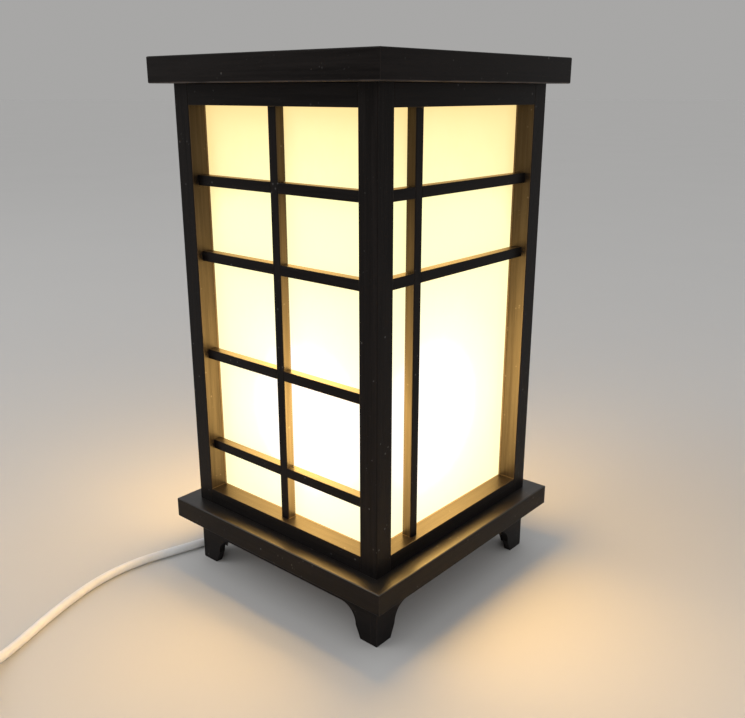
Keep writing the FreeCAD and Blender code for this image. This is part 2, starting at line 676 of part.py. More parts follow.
def lead_cores():
    """The two insulated wires from the cord grip up the threaded tube to the lampholder."""
    bend = worth("core_bend")
    level = worth("exit_height")
    top = worth("%s + holder_floor" % HOLDER) - worth("fit_gap")
    tubes = []
    for sign in (-1, 1):
        y = sign * worth("core_spacing") / 2
        start, low = V(-worth("grip_start"), y, level), V(-bend, y, level)
        turn = V(-bend + bend * math.sqrt(0.5), y, level + bend - bend * math.sqrt(0.5))
        high = V(0, y, level + bend)
        edges = [
            Part.LineSegment(start, low), Part.Arc(low, turn, high), Part.LineSegment(high, V(0, y, top)),
        ]
        tubes.append(swept(Part.Wire([edge.toShape() for edge in edges]), worth("core_diameter")))
    piece = solid_piece("lead_cores", Part.Compound(tubes))
    piece.Placement = FreeCAD.Placement(V(0, 0, 0), FreeCAD.Rotation(UP, worth("grip_turn")))


def rounded_path(points):
    """Straight runs joined by the largest even arcs, and the arcs' radii."""
    edges, radii = [], []
    here = points[0]
    for before, corner, after in zip(points, points[1:], points[2:]):
        arriving, leaving = (corner - before).normalize(), (after - corner).normalize()
        half_turn = arriving.getAngle(leaving) / 2
        cut = 0.45 * min(corner.distanceToPoint(before), corner.distanceToPoint(after))
        radius = cut / math.tan(half_turn)
        start, end = corner - arriving * cut, corner + leaving * cut
        inward = (leaving - arriving).normalize()
        middle = corner + inward * (radius / math.cos(half_turn) - radius)
        edges += [Part.LineSegment(here, start), Part.Arc(start, middle, end)]
        radii.append(round(radius, 1))
        here = end
    edges.append(Part.LineSegment(here, points[-1]))
    return Part.Wire([edge.toShape() for edge in edges]), radii


def cord(label, points):
    """A free stretch of the cord."""
    wire, radii = rounded_path([V(*point) for point in points])
    print(label, "length %.1f, radii" % wire.Length, radii)
    solid_piece(label, swept(wire, worth("cord_diameter")))
    return wire.Length


# Where the cord runs
FLOOR = worth(CORD_Z)
AXIS = worth("switch_axis")
HEADING = math.radians(-65.6)
ALONG = V(math.cos(HEADING), math.sin(HEADING), 0)
SWITCH_START = V(-worth("switch_left"), -worth("switch_front"), AXIS)
exit_turn = math.radians(180 + worth("grip_turn"))
GRIP_WAY = V(math.cos(exit_turn), math.sin(exit_turn), 0)
EXIT = GRIP_WAY * worth("grip_start + grip_block + grip_sleeve") + UP * worth("exit_height")
LEAD = [
    tuple(EXIT),
    tuple(EXIT + GRIP_WAY * worth("exit_run")),
    (-72.0, -28.6, 12.4),
    (-81.5, -38.0, 8.4),
    (-88.5, -50.5, 5.0),
    (-93.2, -64.5, 3.3),
    (-97.2, -80.0, FLOOR),
    (-102.6, -99.0, FLOOR),
    (-108.2, -118.0, FLOOR),
    (-110.9, -139.0, FLOOR),
    (-108.8, -160.5, FLOOR),
    (-103.0, -182.5, FLOOR),
    (-94.3, -206.0, FLOOR),
    (-84.8, -227.5, FLOOR),
    (-77.5, -243.5, 4.2),
    tuple(SWITCH_START - ALONG * worth("switch_run")),
    tuple(SWITCH_START),
]
SWITCH_END = SWITCH_START + ALONG * worth("switch_length")
PLUG_HEADING = math.radians(90 + worth("plug_angle"))
PLUG_WAY = V(math.cos(PLUG_HEADING), math.sin(PLUG_HEADING), 0)


def cord_switch():
    """The switch on the cord: a case with tapered ends, and a rocker in its well."""
    place = FreeCAD.Placement(
        V(SWITCH_START.x, SWITCH_START.y, 0), FreeCAD.Rotation(UP, math.degrees(HEADING))
    )
    case = new_body("switch_case")
    outline = sketch_on(case, "XY_Plane")
    wide, neck = "(switch_width / 2)", "(switch_neck / 2)"
    far = "(switch_length - switch_taper)"
    add_loop(outline, [
        (0, "-" + neck), ("switch_taper", "-" + wide), (far, "-" + wide), ("switch_length", "-" + neck),
        ("switch_length", neck), (far, wide), ("switch_taper", wide), (0, neck),
    ])
    solid = pad(case, outline, "switch_height")
    top = worth("switch_height")
    soften(case, solid, "switch_round", lambda edge: all(abs(v.Z - top) < 1e-4 for v in edge.Vertexes))
    well = sketch_on(case, "XY_Plane", "switch_height")
    reach = "(rocker_length / 2 + 2 * rocker_gap)"
    side = "(rocker_width / 2 + rocker_gap)"
    middle = "(switch_length / 2)"
    add_box(well, "%s - %s" % (middle, reach), "%s + %s" % (middle, reach), "-" + side, side)
    pocket(case, well, "rocker_below + well_depth")
    case.Placement = place
    rocker = new_body("switch_rocker")
    profile = sketch_on(rocker, "XZ_Plane", "-rocker_width / 2")
    half = "(rocker_length / 2)"
    add_loop(profile, [
        ("-" + half, "-rocker_depth"), (0, "-rocker_depth - rocker_dip"), (half, "-rocker_depth"),
        (half, "rocker_below + rocker_dip"), (0, "rocker_below"), ("-" + half, "rocker_below + rocker_dip"),
    ])
    pad(rocker, profile, "rocker_width")
    pivot = FreeCAD.Placement(
        V(worth(middle), 0, worth("switch_height - rocker_below")),
        FreeCAD.Rotation(V(0, 1, 0), -worth("rocker_tilt")),
    )
    rocker.Placement = place.multiply(pivot)


def biarc(start, heading, end, heading_after):
    """Two arcs that join two places along given headings."""
    span = end - start
    both = heading + heading_after
    bend = 2 * (1 - heading.dot(heading_after))
    along = span.dot(both)
    reach = (-along + math.sqrt(along**2 + bend * span.dot(span))) / bend
    joint = (start + heading * reach + end - heading_after * reach) / 2
    arcs = []
    for first, direction, last in ((start, heading, joint), (end, heading_after * -1, joint)):
        chord = last - first
        sideways = chord - direction * chord.dot(direction)
        radius = chord.dot(chord) / (2 * sideways.Length)
        centre = first + sideways.normalize() * radius
        middle = centre + ((first + last) / 2 - centre).normalize() * radius
        arcs.append((first, middle, last))
    arcs[1] = arcs[1][::-1]
    return [Part.Arc(*arc) for arc in arcs]


def coil_way():
    """Places and headings along the coil: in over the floor, up a layer in half a turn, and out again."""
    radius, pitch = worth("coil_radius"), worth("coil_pitch")
    lean = math.atan2(pitch, 2 * math.pi * radius)
    first = HEADING + math.pi / 2 + lean
    last = PLUG_HEADING + math.pi / 2 - lean
    turns = (first - last) / (2 * math.pi) + worth("coil_loops")
    layer = (turns - 0.5) / 2
    low = worth("tie_thickness + tie_gap") + FLOOR
    entry = SWITCH_END + ALONG * (worth("link_length") + worth("cord_diameter"))
    centre = V(entry.x, entry.y, 0) - V(math.cos(first), math.sin(first), 0) * radius
    steps = 2 * round(layer)
    marks = [layer * n / steps for n in range(steps + 1)]
    marks += [layer + 0.5 + layer * n / steps for n in range(steps + 1)]
    way = []
    for turn in marks:
        inward = turn <= layer
        reach = radius - pitch * (turn if inward else turns - turn)
        angle = first - 2 * math.pi * turn
        outward = V(math.cos(angle), math.sin(angle), 0)
        onward = V(math.sin(angle), -math.cos(angle), 0)
        place = centre + outward * reach + UP * (low if inward else low + pitch)
        heading = onward * (2 * math.pi * reach) + outward * (-pitch if inward else pitch)
        way.append((place, heading.normalize()))
    return centre, way


def least_gap(wire, diameter):
    """The smallest clear gap between two turns, measured on points along the wire."""
    step = diameter / 3
    points = wire.discretize(Distance=step)
    apart = int(3 * diameter / step)
    least = min(
        points[i].distanceToPoint(points[j])
        for i in range(len(points))
        for j in range(i + apart, len(points))
    )
    return least - diameter


def cord_coil():
    """The put-away length of cord, as one unbroken coil of two layers, and the band that ties it."""
    centre, way = coil_way()
    lead = worth("cord_diameter")
    edges = [Part.LineSegment(way[0][0] - way[0][1] * lead, way[0][0])]
    for (start, heading), (end, heading_after) in zip(way, way[1:]):
        edges += biarc(start, heading, end, heading_after)
    edges.append(Part.LineSegment(way[-1][0], way[-1][0] + way[-1][1] * lead))
    wire = Part.Wire([edge.toShape() for edge in edges])
    print("cord_coil length %.1f, least gap %.2f" % (wire.Length, least_gap(wire, lead)))
    solid_piece("cord_coil", swept(wire, lead))
    coil_tie(centre)
    return wire.Length, way[0][0] - way[0][1] * lead, way[-1][0] + way[-1][1] * lead


def rounded_box(left, right, low, high, radius):
    """Corners of a rectangle with its corners rounded."""
    return [
        ("%s + %s" % (left, radius), low), ("%s - %s" % (right, radius), low, radius, 1),
        (right, "%s + %s" % (low, radius)), (right, "%s - %s" % (high, radius), radius, 1),
        ("%s - %s" % (right, radius), high), ("%s + %s" % (left, radius), high, radius, 1),
        (left, "%s - %s" % (high, radius)), (left, "%s + %s" % (low, radius), radius, 1),
    ]


def coil_tie(centre):
    """A flat band round all the turns at one place."""
    body = new_body("coil_tie")
    ring = sketch_on(body, "XZ_Plane", "-tie_width / 2")
    turns = round((worth("coil_loops") - 1) / 2)
    right = "(coil_radius + cord_diameter / 2 + tie_slack)"
    left = "(coil_radius - %d * coil_pitch - cord_diameter / 2 - 2 * tie_slack)" % turns
    low = "tie_thickness"
    high = "(tie_thickness + 2 * tie_gap + cord_diameter + coil_pitch)"
    add_loop(ring, rounded_box(left, right, low, high, "tie_round"))
    add_loop(ring, rounded_box(
        "(%s - tie_thickness)" % left, "(%s + tie_thickness)" % right, 0,
        "(%s + tie_thickness)" % high, "(tie_round + tie_thickness)",
    ))
    pad(body, ring, "tie_width")
    body.Placement = FreeCAD.Placement(centre, FreeCAD.Rotation(UP, worth("tie_angle")))


def plug(start):
    """A flat plug lying beside the coil, with two pins."""
    place = FreeCAD.Placement(start, FreeCAD.Rotation(UP, math.degrees(PLUG_HEADING)))
    body = new_body("plug_body")
    outline = sketch_on(body, "XY_Plane", "-plug_thickness / 2")
    neck, wide = "(plug_neck / 2)", "(plug_width / 2)"
    add_loop(outline, [
        (0, "-" + neck), ("plug_neck_length", "-" + neck), ("plug_shoulder", "-" + wide),
        ("plug_length", "-" + wide), ("plug_length", wide), ("plug_shoulder", wide),
        ("plug_neck_length", neck), (0, neck),
    ])
    solid = pad(body, outline, "plug_thickness")
    soften(body, solid, "plug_round", lambda edge: abs(edge.Vertexes[0].Z - edge.Vertexes[1].Z) < 1e-4)
    body.Placement = place
    pins = new_body("plug_pins")
    circles = sketch_on(pins, "YZ_Plane", "plug_length")
    for sign in ("-", ""):
        add_circle(circles, "%spin_spacing / 2" % sign, 0, "pin_diameter")
    pad(pins, circles, "pin_length")
    pins.Placement = place


def build():
    """Make every piece."""
    side_upright = "-(%s - side_gap - bar_width / 2)" % INSIDE
    for side, turn in SIDES.items():
        facing = side in ("front", "back")
        upright = "0" if facing else side_upright
        levels = LEVELS if facing else LEVELS[:2]
        cap_board(side, turn)
        base_board(side, turn)
        top = "(%s - top_rail)" % CAP_BOTTOM
        rail("top_rail_" + side, turn, top, "top_rail", upright, upward=True)
        rail("bottom_rail_" + side, turn, SLAB_TOP, "bottom_rail", upright, upward=False)
        lattice_upright(side, turn, upright, levels)
        crossbars(side, turn, upright, levels)
        sheet(side, turn, SHEET_BACK if facing else INSIDE)
        foot_board(side, turn, "(%s - apron_thickness)" % HALF if facing else HALF)
    for corner, turn in CORNERS.items():
        near_front = turn in (0, 180)
        across, along = (LEVELS, LEVELS[:2]) if near_front else (LEVELS[:2], LEVELS)
        post(corner, turn, across, along)
    base_panel()
    sheet_strips()
    corner_blocks()
    dowels()
    holder_tube()
    tube_nuts()
    lampholder()
    bulb()
    cord_grip()
    lead_cores()
    cord_switch()
    lead_length = cord("cord_lead", LEAD)
    coil_length, coil_start, coil_end = cord_coil()
    run = ALONG * worth("link_run")
    link = [SWITCH_END, SWITCH_END + run, coil_start - run, coil_start]
    link_length = cord("cord_link", link)
    run = PLUG_WAY * worth("tail_run")
    plug_start = coil_end + PLUG_WAY * worth("tail_length")
    plug_start.z = AXIS
    tail_length = cord("cord_tail", [coil_end, coil_end + run, plug_start - run, plug_start])
    plug(plug_start)
    free = lead_length + link_length + coil_length + tail_length
    print("cord in all %.1f" % (free + worth("switch_length")))
    print("coil end", coil_end, "plug start", plug_start)


def write():
    """Check every object, then write each piece's file."""
    doc.recompute()
    for thing in doc.Objects:
        if "Invalid" in thing.State or "Error" in thing.State:
            raise RuntimeError("%s failed" % thing.Label)
    os.makedirs("parts", exist_ok=True)
    for piece in pieces:
        if piece.Shape.isNull() or not piece.Shape.isValid():
            raise RuntimeError("%s has no sound shape" % piece.Label)
    for piece in pieces:
        piece.Shape.exportStep("parts/%s.step" % piece.Label)
    print(len(pieces), "pieces")


build()
write()
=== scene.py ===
"""Finishes, cord, studio and camera of a square wooden table lantern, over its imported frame."""

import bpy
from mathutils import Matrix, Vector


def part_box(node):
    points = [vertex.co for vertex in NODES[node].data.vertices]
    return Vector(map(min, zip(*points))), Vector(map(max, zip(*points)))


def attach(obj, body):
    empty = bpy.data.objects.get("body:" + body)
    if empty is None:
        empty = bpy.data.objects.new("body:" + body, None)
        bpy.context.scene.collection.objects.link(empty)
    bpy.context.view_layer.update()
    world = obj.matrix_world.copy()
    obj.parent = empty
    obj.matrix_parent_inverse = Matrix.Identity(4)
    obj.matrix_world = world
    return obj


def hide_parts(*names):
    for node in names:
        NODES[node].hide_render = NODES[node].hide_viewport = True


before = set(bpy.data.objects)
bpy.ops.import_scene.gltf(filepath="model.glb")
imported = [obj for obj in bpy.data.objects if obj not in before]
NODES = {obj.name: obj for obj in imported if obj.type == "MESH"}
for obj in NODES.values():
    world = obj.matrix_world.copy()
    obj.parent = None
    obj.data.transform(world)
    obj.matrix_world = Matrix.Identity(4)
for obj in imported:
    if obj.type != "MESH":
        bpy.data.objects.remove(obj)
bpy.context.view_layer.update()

import math

import bpy
from bpy.props import FloatProperty, FloatVectorProperty, IntProperty, PointerProperty
from mathutils import Vector

bl_info = {
    "name": "Lattice Lantern",
    "version": (1, 0, 0),
    "blender": (4, 5, 0),
    "location": "View3D > Sidebar > Lantern",
    "description": "Finishes, cord and studio of a square wooden table lantern",
    "category": "Object",
}

SIDES = ("front", "right", "back", "left")


# Settings

def number_setting(name, description, default, **kind):
    """A number that a user can change."""
    return FloatProperty(name=name, description=description, default=default, **kind)


def length_setting(name, description, default):
    """A length that a user can change."""
    return number_setting(name, description, default, unit="LENGTH")


def angle_setting(name, description, degrees):
    """An angle that a user can change."""
    return number_setting(name, description, math.radians(degrees), subtype="ANGLE")


def colour_setting(name, description, default, **limits):
    """A colour that a user can change."""
    return FloatVectorProperty(
        name=name, description=description, subtype="COLOR", default=default, **limits)


class LanternWood(bpy.types.PropertyGroup):
    """Black painted wood."""

    paint: colour_setting("Paint", "Colour of the black paint", (0.0036, 0.0029, 0.0028))
    thin_paint: colour_setting(
        "Thin Paint", "Where the grain lifts the paint", (0.0108, 0.0088, 0.0083))
    sheen: colour_setting("Sheen", "Tint of the paint's reflections", (1.0, 0.88, 0.83))
    # A painted glow: the inner faces of the openings are painted a lighter brown that stands in for
    # the light of the sheets
    recess: colour_setting(
        "Painted Inner Glow", "Painted glow, a lighter brown on the inner faces of the openings", (0.016, 0.0115, 0.0085))
    # Painted glow on top of the base, where the light of the sheets falls
    ledge_glow: colour_setting("Ledge Glow", "Painted glow on top of the base", (0.009, 0.0075, 0.0065))
    # Painted highlights: pale lines above the sills, beside the sheets and along the arrises of the
    # openings
    joint: colour_setting(
        "Painted Highlight", "Pale lines above the sills, beside the sheets and along the arrises",
        (0.120, 0.088, 0.056))
    worn: colour_setting("Worn Edge", "Wood that shows at worn edges", (0.075, 0.058, 0.044))
    speck: colour_setting("Speck", "Pale specks and scratches", (0.11, 0.107, 0.104))
    # Painted highlight along the cap's lower arris, where it catches light
    arris_highlight: colour_setting(
        "Arris Highlight", "Painted highlight along the lower edge of the cap", (0.070, 0.058, 0.053))
    edge: length_setting("Edge Width", "Width of the wear along an edge", 0.0005)


class LanternGlow(bpy.types.PropertyGroup):
    """Light of the sheets and the bulb."""

    strength: number_setting("Strength", "Strength of the lit sheets", 16.0)
    inside: number_setting("Inside", "Share of it on a sheet's inner face", 0.05)
    height: length_setting("Height", "Floor to the brightest place on a sheet", 0.130)
    shift: length_setting("Shift", "From a sheet's middle to its brightest place", 0.015)
    away: length_setting("Away", "From the lantern's axis to a sheet", 0.0705)
    bulb: number_setting("Bulb", "Strength of the lit bulb", 9.0)
    cast: colour_setting(
        "Cast", "Tint of the light that a sheet casts", (1.18, 0.70, 0.20), soft_max=2.0)


class LanternCord(bpy.types.PropertyGroup):
    """Mains cord, its coil, its tie and its sleeves."""

    colour: colour_setting("Colour", "Colour of the cord", (0.83, 0.82, 0.80))
    diameter: length_setting("Diameter", "Thickness of the cord", 0.006)
    length: length_setting("Length", "Grip to plug", 1.8)
    heading: angle_setting("Heading", "Direction of the cord through its switch", -65.6)
    plug_heading: angle_setting("Plug Heading", "Direction that the plug points in", 102)
    switch_length: length_setting("Switch", "Length of cord inside the switch", 0.054)
    link_length: length_setting("Link", "Cord between switch and coil", 0.034)
    tail_length: length_setting("Tail", "Cord between coil and plug", 0.036)
    coil_radius: length_setting("Coil Radius", "Radius of the outermost turn", 0.0445)
    coil_pitch: length_setting("Coil Pitch", "Between turns, beside and above", 0.0067)
    coil_height: length_setting("Coil Height", "Floor to the lower turns", 0.0042)
    coil_loops: IntProperty(name="Loops", description="Loops of the coil", default=7)
    tie_width: length_setting("Tie Width", "Width of the band", 0.010)
    tie_thickness: length_setting("Tie Thickness", "Thickness of the band", 0.0008)
    tie_angle: angle_setting("Tie Angle", "Place of the band round the coil", 280)
    sleeve_length: length_setting("Sleeve Length", "Ribbed sleeve at switch and plug", 0.0208)
    sleeve_thick: length_setting("Sleeve Thick End", "Radius of a sleeve at its housing", 0.0047)
    sleeve_thin: length_setting("Sleeve Thin End", "Radius of a sleeve at its free end", 0.0037)
    sleeve_groove: length_setting("Sleeve Groove", "Depth of a sleeve's grooves", 0.0006)


class LanternFittings(bpy.types.PropertyGroup):
    """Screw cap and small screws."""

    pitch: length_setting("Pitch", "Pitch of the bulb's thread", 0.0254 / 7)
    depth: length_setting("Depth", "Depth of the bulb's thread", 0.0011)
    cone: length_setting("Cone", "Bulb tip to the lowest thread", 0.008)
    screw_radius: length_setting("Screw Head", "Radius of a screw head in the cord grip", 0.0026)
    screw_height: length_setting("Head Height", "Height of a screw head", 0.0015)
    screw_place: length_setting("Screw Place", "Cord to a screw, across the grip", 0.0075)


class LanternStudio(bpy.types.PropertyGroup):
    """Floor, lights and camera."""

    floor: colour_setting("Floor", "Colour of the floor", (0.57, 0.564, 0.555))
    key: number_setting("Key", "Large soft light", 9.0, unit="POWER")
    fill: number_setting("Fill", "Weak light from the right", 0.8, unit="POWER")
    sky: number_setting("Sky", "Even light from all round", 0.70)
    backdrop: number_setting("Backdrop", "Brightness behind the floor", 0.684)
    lens: number_setting("Lens", "Focal length in millimetres", 40.87)
    eye: FloatVectorProperty(
        name="Eye", description="Place of the camera", subtype="TRANSLATION",
        default=(0.3739, -0.4238, 0.3290))
    look: FloatVectorProperty(
        name="Look", description="Turn of the camera", subtype="EULER",
        default=(math.radians(72.47), 0.0, math.radians(40.80)))


# Nodes

def add(tree, kind, inputs=None, **settings):
    """A node with its settings, and its inputs set or linked."""
    node = tree.nodes.new(kind)
    for name, value in settings.items():
        setattr(node, name, value)
    for name, value in (inputs or {}).items():
        if isinstance(value, bpy.types.NodeSocket):
            tree.links.new(value, node.inputs[name])
        else:
            node.inputs[name].default_value = value
    return node


def calc(tree, operation, first, second=0.0, third=0.0):
    """A number worked out from up to three others."""
    inputs = dict(enumerate((first, second, third)))
    return add(tree, "ShaderNodeMath", inputs, operation=operation).outputs[0]


def times(tree, first, second):
    """The product of two numbers."""
    return calc(tree, "MULTIPLY", first, second)


def raised(tree, value, by, base):
    """A number times another, on top of a third."""
    return calc(tree, "MULTIPLY_ADD", value, by, base)


def span(tree, value, low, high, bottom=0.0, top=1.0):
    """A number mapped smoothly from one range to another."""
    inputs = {"Value": value, "From Min": low, "From Max": high, "To Min": bottom, "To Max": top}
    node = add(tree, "ShaderNodeMapRange", inputs, interpolation_type="SMOOTHSTEP")
    return node.outputs["Result"]


def between(tree, value, middle, half):
    """One where a number lies close to a middle, and nothing elsewhere."""
    return calc(tree, "COMPARE", value, middle, half)


def mix(tree, factor, first, second):
    """A blend of two colours."""
    node = add(tree, "ShaderNodeMix", data_type="RGBA")
    for number, value in ((0, factor), (6, first), (7, second)):
        socket = node.inputs[number]
        if isinstance(value, bpy.types.NodeSocket):
            tree.links.new(value, socket)
        else:
            socket.default_value = value if isinstance(value, float) else (*value[:3], 1.0)
    return node.outputs[2]


def layered(tree, colour, *coats):
    """A colour with others laid over it, each as (mask, colour)."""
    for mask, coat in coats:
        colour = mix(tree, mask, colour, coat)
    return colour


def toned(colour, share):
    """A colour made darker."""
    return tuple(share * part for part in colour)


def noise(tree, vector, scale, detail=4.0, rough=0.55):
    """A noise value."""
    inputs = {"Vector": vector, "Scale": scale, "Detail": detail, "Roughness": rough}
    return add(tree, "ShaderNodeTexNoise", inputs).outputs["Fac"]


def ramp(tree, value, stops):
    """A colour picked along stops of (place, colour)."""
    node = add(tree, "ShaderNodeValToRGB", {"Fac": value})
    elements = node.color_ramp.elements
    while len(elements) < len(stops):
        elements.new(0.5)
    for element, (place, colour) in zip(elements, stops):
        element.position = place
        element.color = (*colour, 1.0)
    return node.outputs["Color"]


def parts(tree, vector):
    """The X, Y and Z of a vector."""
    return add(tree, "ShaderNodeSeparateXYZ", {0: vector}).outputs


def facing(tree):
    """The direction that a surface faces."""
    return add(tree, "ShaderNodeNewGeometry").outputs["Normal"]


def vectors(tree, operation, first, second, result="Vector"):
    """A vector or a number worked out from two vectors."""
    node = add(tree, "ShaderNodeVectorMath", {0: first, 1: second}, operation=operation)
    return node.outputs[result]


def stretched(tree, vector, by):
    """A vector scaled along each axis."""
    return vectors(tree, "MULTIPLY", vector, by)


def scaled(tree, vector, level):
    """A vector made longer by a number."""
    inputs = {0: vector, "Scale": level}
    return add(tree, "ShaderNodeVectorMath", inputs, operation="SCALE").outputs["Vector"]


# Shared effects

LINE_STRETCH, PORE_STRETCH = (0.035, 1.0, 1.0), (0.09, 1.0, 1.0)
BANDS_TO_LINES, PORES_TO_LINES = 0.22, 3.1


def make_grain(group, given):
    """Fine straight grain along X: a tone, open pores and a height."""
    along = stretched(group, given["Vector"], LINE_STRETCH)
    short = stretched(group, given["Vector"], PORE_STRETCH)
    bands = noise(group, along, times(group, given["Lines"], BANDS_TO_LINES), detail=3.0)
    lines = noise(group, along, given["Lines"], detail=6.0, rough=0.65)
    pores = noise(group, short, times(group, given["Lines"], PORES_TO_LINES), detail=2.0, rough=0.5)
    pores = span(group, pores, 0.57, 0.70)
    tone = raised(group, bands, 0.45, times(group, lines, 0.55))
    height = calc(group, "SUBTRACT", times(group, lines, 0.8), times(group, pores, 0.5))
    return {"Tone": span(group, tone, 0.36, 0.66), "Pores": pores, "Height": height}


SPECK_SCALE, SPECK_PLACES, SCRATCH_PLACES = 240.0, 95.0, 38.0
SCRATCH_TURN, SCRATCH_AXIS = 0.55, (0.4, 0.7, 0.6)
SCRATCH_STRETCH, SCRATCH_SHARE = (30.0, 1400.0, 1400.0), 0.7


def make_scuffs(group, given):
    """Small specks and short scratches."""
    place = given["Vector"]
    inputs = {"Vector": place, "Scale": SPECK_SCALE, "Randomness": 1.0}
    away = add(group, "ShaderNodeTexVoronoi", inputs).outputs["Distance"]
    near = span(group, away, 0.10, 0.20, bottom=1.0, top=0.0)
    chosen = noise(group, place, SPECK_PLACES, detail=1.0)
    dots = times(group, near, span(group, chosen, 0.585, 0.645))
    inputs = {"Vector": place, "Angle": SCRATCH_TURN, "Axis": SCRATCH_AXIS}
    turned = add(group, "ShaderNodeVectorRotate", inputs, rotation_type="AXIS_ANGLE").outputs[0]
    fine = noise(group, stretched(group, turned, SCRATCH_STRETCH), scale=1.0, detail=1.0)
    where = noise(group, place, SCRATCH_PLACES, detail=1.0)
    lines = times(group, span(group, fine, 0.735, 0.76), span(group, where, 0.56, 0.66))
    both = calc(group, "MAXIMUM", dots, times(group, lines, SCRATCH_SHARE))
    return {"Mask": times(group, both, given["Amount"])}


def make_edge(group, given):
    """How close a place is to a sharp edge, broken up by noise."""
    soft = add(group, "ShaderNodeBevel", {"Radius": given["Radius"]}, samples=8).outputs[0]
    alike = vectors(group, "DOT_PRODUCT", soft, facing(group), "Value")
    edge = span(group, alike, 0.80, 0.99, bottom=1.0, top=0.0)
    broken = span(group, noise(group, given["Vector"], 160.0, 5.0, 0.7), 0.40, 0.68)
    edge = times(group, edge, raised(group, broken, by=0.8, base=0.2))
    return {"Mask": times(group, edge, given["Amount"])}


def make_dust(group, given):
    """Thin dust on faces that look up."""
    upward = span(group, parts(group, facing(group))["Z"], 0.6, 1.0)
    cloud = span(group, noise(group, given["Vector"], 60.0, 6.0, 0.7), 0.35, 0.75)
    return {"Mask": times(group, times(group, upward, cloud), given["Amount"])}


# Heights of openings, base and sills, and how far from the axis faces and lines lie
OPENING_MIDDLE, OPENING_HALF = 0.191, 0.1425
LEDGE_HEIGHT, LEDGE_HALF = 0.0478, 0.0008
# Height of a painted highlight line above the sills
SILL_LINE, SILL_LINE_HALF = 0.0590, 0.00025
OUTER_FACES = 0.0785
ARRIS_FADE = (0.0836, 0.0840)
# Depths of the painted highlight on the arrises, and of the strip by the sheets with its painted
# shadow line
ARRIS_DEPTH, ARRIS_SHARE = 0.0834, 0.4
RIM_DEPTH, SHADOW_LINE_HALF = 0.0718, 0.0002
POST_CORNER, POST_GAIN, BAR_GAIN = 0.0695, 0.20, 0.16
STEEP, LYING = 0.7, 0.25


def make_recess(group, given):
    """Masks of the inner faces of the openings, which lie between cap and base and don't look out.

    With them come their satin, which is stronger on upright faces and most of all on posts, and
    masks for painted light: a painted glow on the inner faces and on the top of the base, painted
    highlights above the sills, beside the sheets and along the arrises, and a painted shadow line
    close to the sheets.
    """
    place, normal = parts(group, given["Vector"]), parts(group, facing(group))
    outward, depth, corner = 0.0, 0.0, 1.0
    for axis in "XY":
        away = calc(group, "ABSOLUTE", place[axis])
        faces = calc(group, "GREATER_THAN", calc(group, "ABSOLUTE", normal[axis]), STEEP)
        faces = times(group, faces, calc(group, "GREATER_THAN", away, OUTER_FACES))
        outward = calc(group, "MAXIMUM", outward, faces)
        depth = calc(group, "MAXIMUM", depth, away)
        corner = calc(group, "MINIMUM", corner, away)
    inner = calc(group, "SUBTRACT", 1.0, outward)
    inner = times(group, inner, span(group, depth, *ARRIS_FADE, bottom=1.0, top=0.0))
    inner = times(group, inner, between(group, place["Z"], OPENING_MIDDLE, OPENING_HALF))
    # The top of the base, which gets a painted glow and a strong satin
    ledge_glow = between(group, place["Z"], LEDGE_HEIGHT, LEDGE_HALF)
    ledge_glow = times(group, ledge_glow, calc(group, "GREATER_THAN", normal["Z"], LYING))
    upright = calc(group, "LESS_THAN", normal["Z"], STEEP)
    gain = raised(group, calc(group, "GREATER_THAN", corner, POST_CORNER), POST_GAIN, BAR_GAIN)
    satin = times(group, inner, raised(group, upright, by=gain, base=1.0))
    # Painted highlights: a line above the sills, a strip beside the sheets, and the front arrises
    # of the openings
    lines = times(group, between(group, place["Z"], SILL_LINE, SILL_LINE_HALF), upright)
    lines = calc(group, "MAXIMUM", lines, calc(group, "LESS_THAN", depth, RIM_DEPTH))
    arris = times(group, calc(group, "GREATER_THAN", depth, ARRIS_DEPTH), ARRIS_SHARE)
    lines = times(group, inner, calc(group, "MAXIMUM", lines, arris))
    # A painted shadow line on the inner faces, close to the sheets
    shadow_line = times(group, inner, between(group, depth, RIM_DEPTH + SHADOW_LINE_HALF, SHADOW_LINE_HALF))
    return {"Mask": inner, "Satin": satin, "Ledge Glow": ledge_glow, "Painted Highlight": lines, "Seam": shadow_line}


def make_mould(group, given):
    """Fine moulded texture: a tone and a height."""
    fine = noise(group, given["Vector"], given["Scale"], 2.0, 0.5)
    broad = noise(group, given["Vector"], 70.0, 5.0, 0.6)
    return {"Tone": span(group, broad, 0.32, 0.70), "Height": fine}


# Each effect's maker, title, inputs beside its Vector, and outputs
EFFECTS = {
    "grain": (make_grain, "Straight Grain", {"Lines": 420.0}, ("Tone", "Pores", "Height")),
    "scuffs": (make_scuffs, "Specks and Scratches", {"Amount": 0.5}, ("Mask",)),
    "edge": (make_edge, "Edge Wear", {"Radius": 0.0005, "Amount": 0.5}, ("Mask",)),
    "dust": (make_dust, "Settled Dust", {"Amount": 0.1}, ("Mask",)),
    "recess": (make_recess, "Inner Faces", {}, ("Mask", "Satin", "Ledge Glow", "Painted Highlight", "Seam")),
    "mould": (make_mould, "Moulded Skin", {"Scale": 1800.0}, ("Tone", "Height")),
}
GROUPS = {}


def make_group(make, title, inputs, outputs):
    """A shader group with its named inputs and outputs."""
    group = bpy.data.node_groups.new(title, "ShaderNodeTree")
    sockets = group.interface
    sockets.new_socket("Vector", in_out="INPUT", socket_type="NodeSocketVector")
    for name, default in inputs.items():
        socket = sockets.new_socket(name, in_out="INPUT", socket_type="NodeSocketFloat")
        socket.default_value = default
    for name in outputs:
        sockets.new_socket(name, in_out="OUTPUT", socket_type="NodeSocketFloat")
    given = group.nodes.new("NodeGroupInput").outputs
    out = group.nodes.new("NodeGroupOutput").inputs
    for name, value in make(group, given).items():
        group.links.new(value, out[name])
    return group


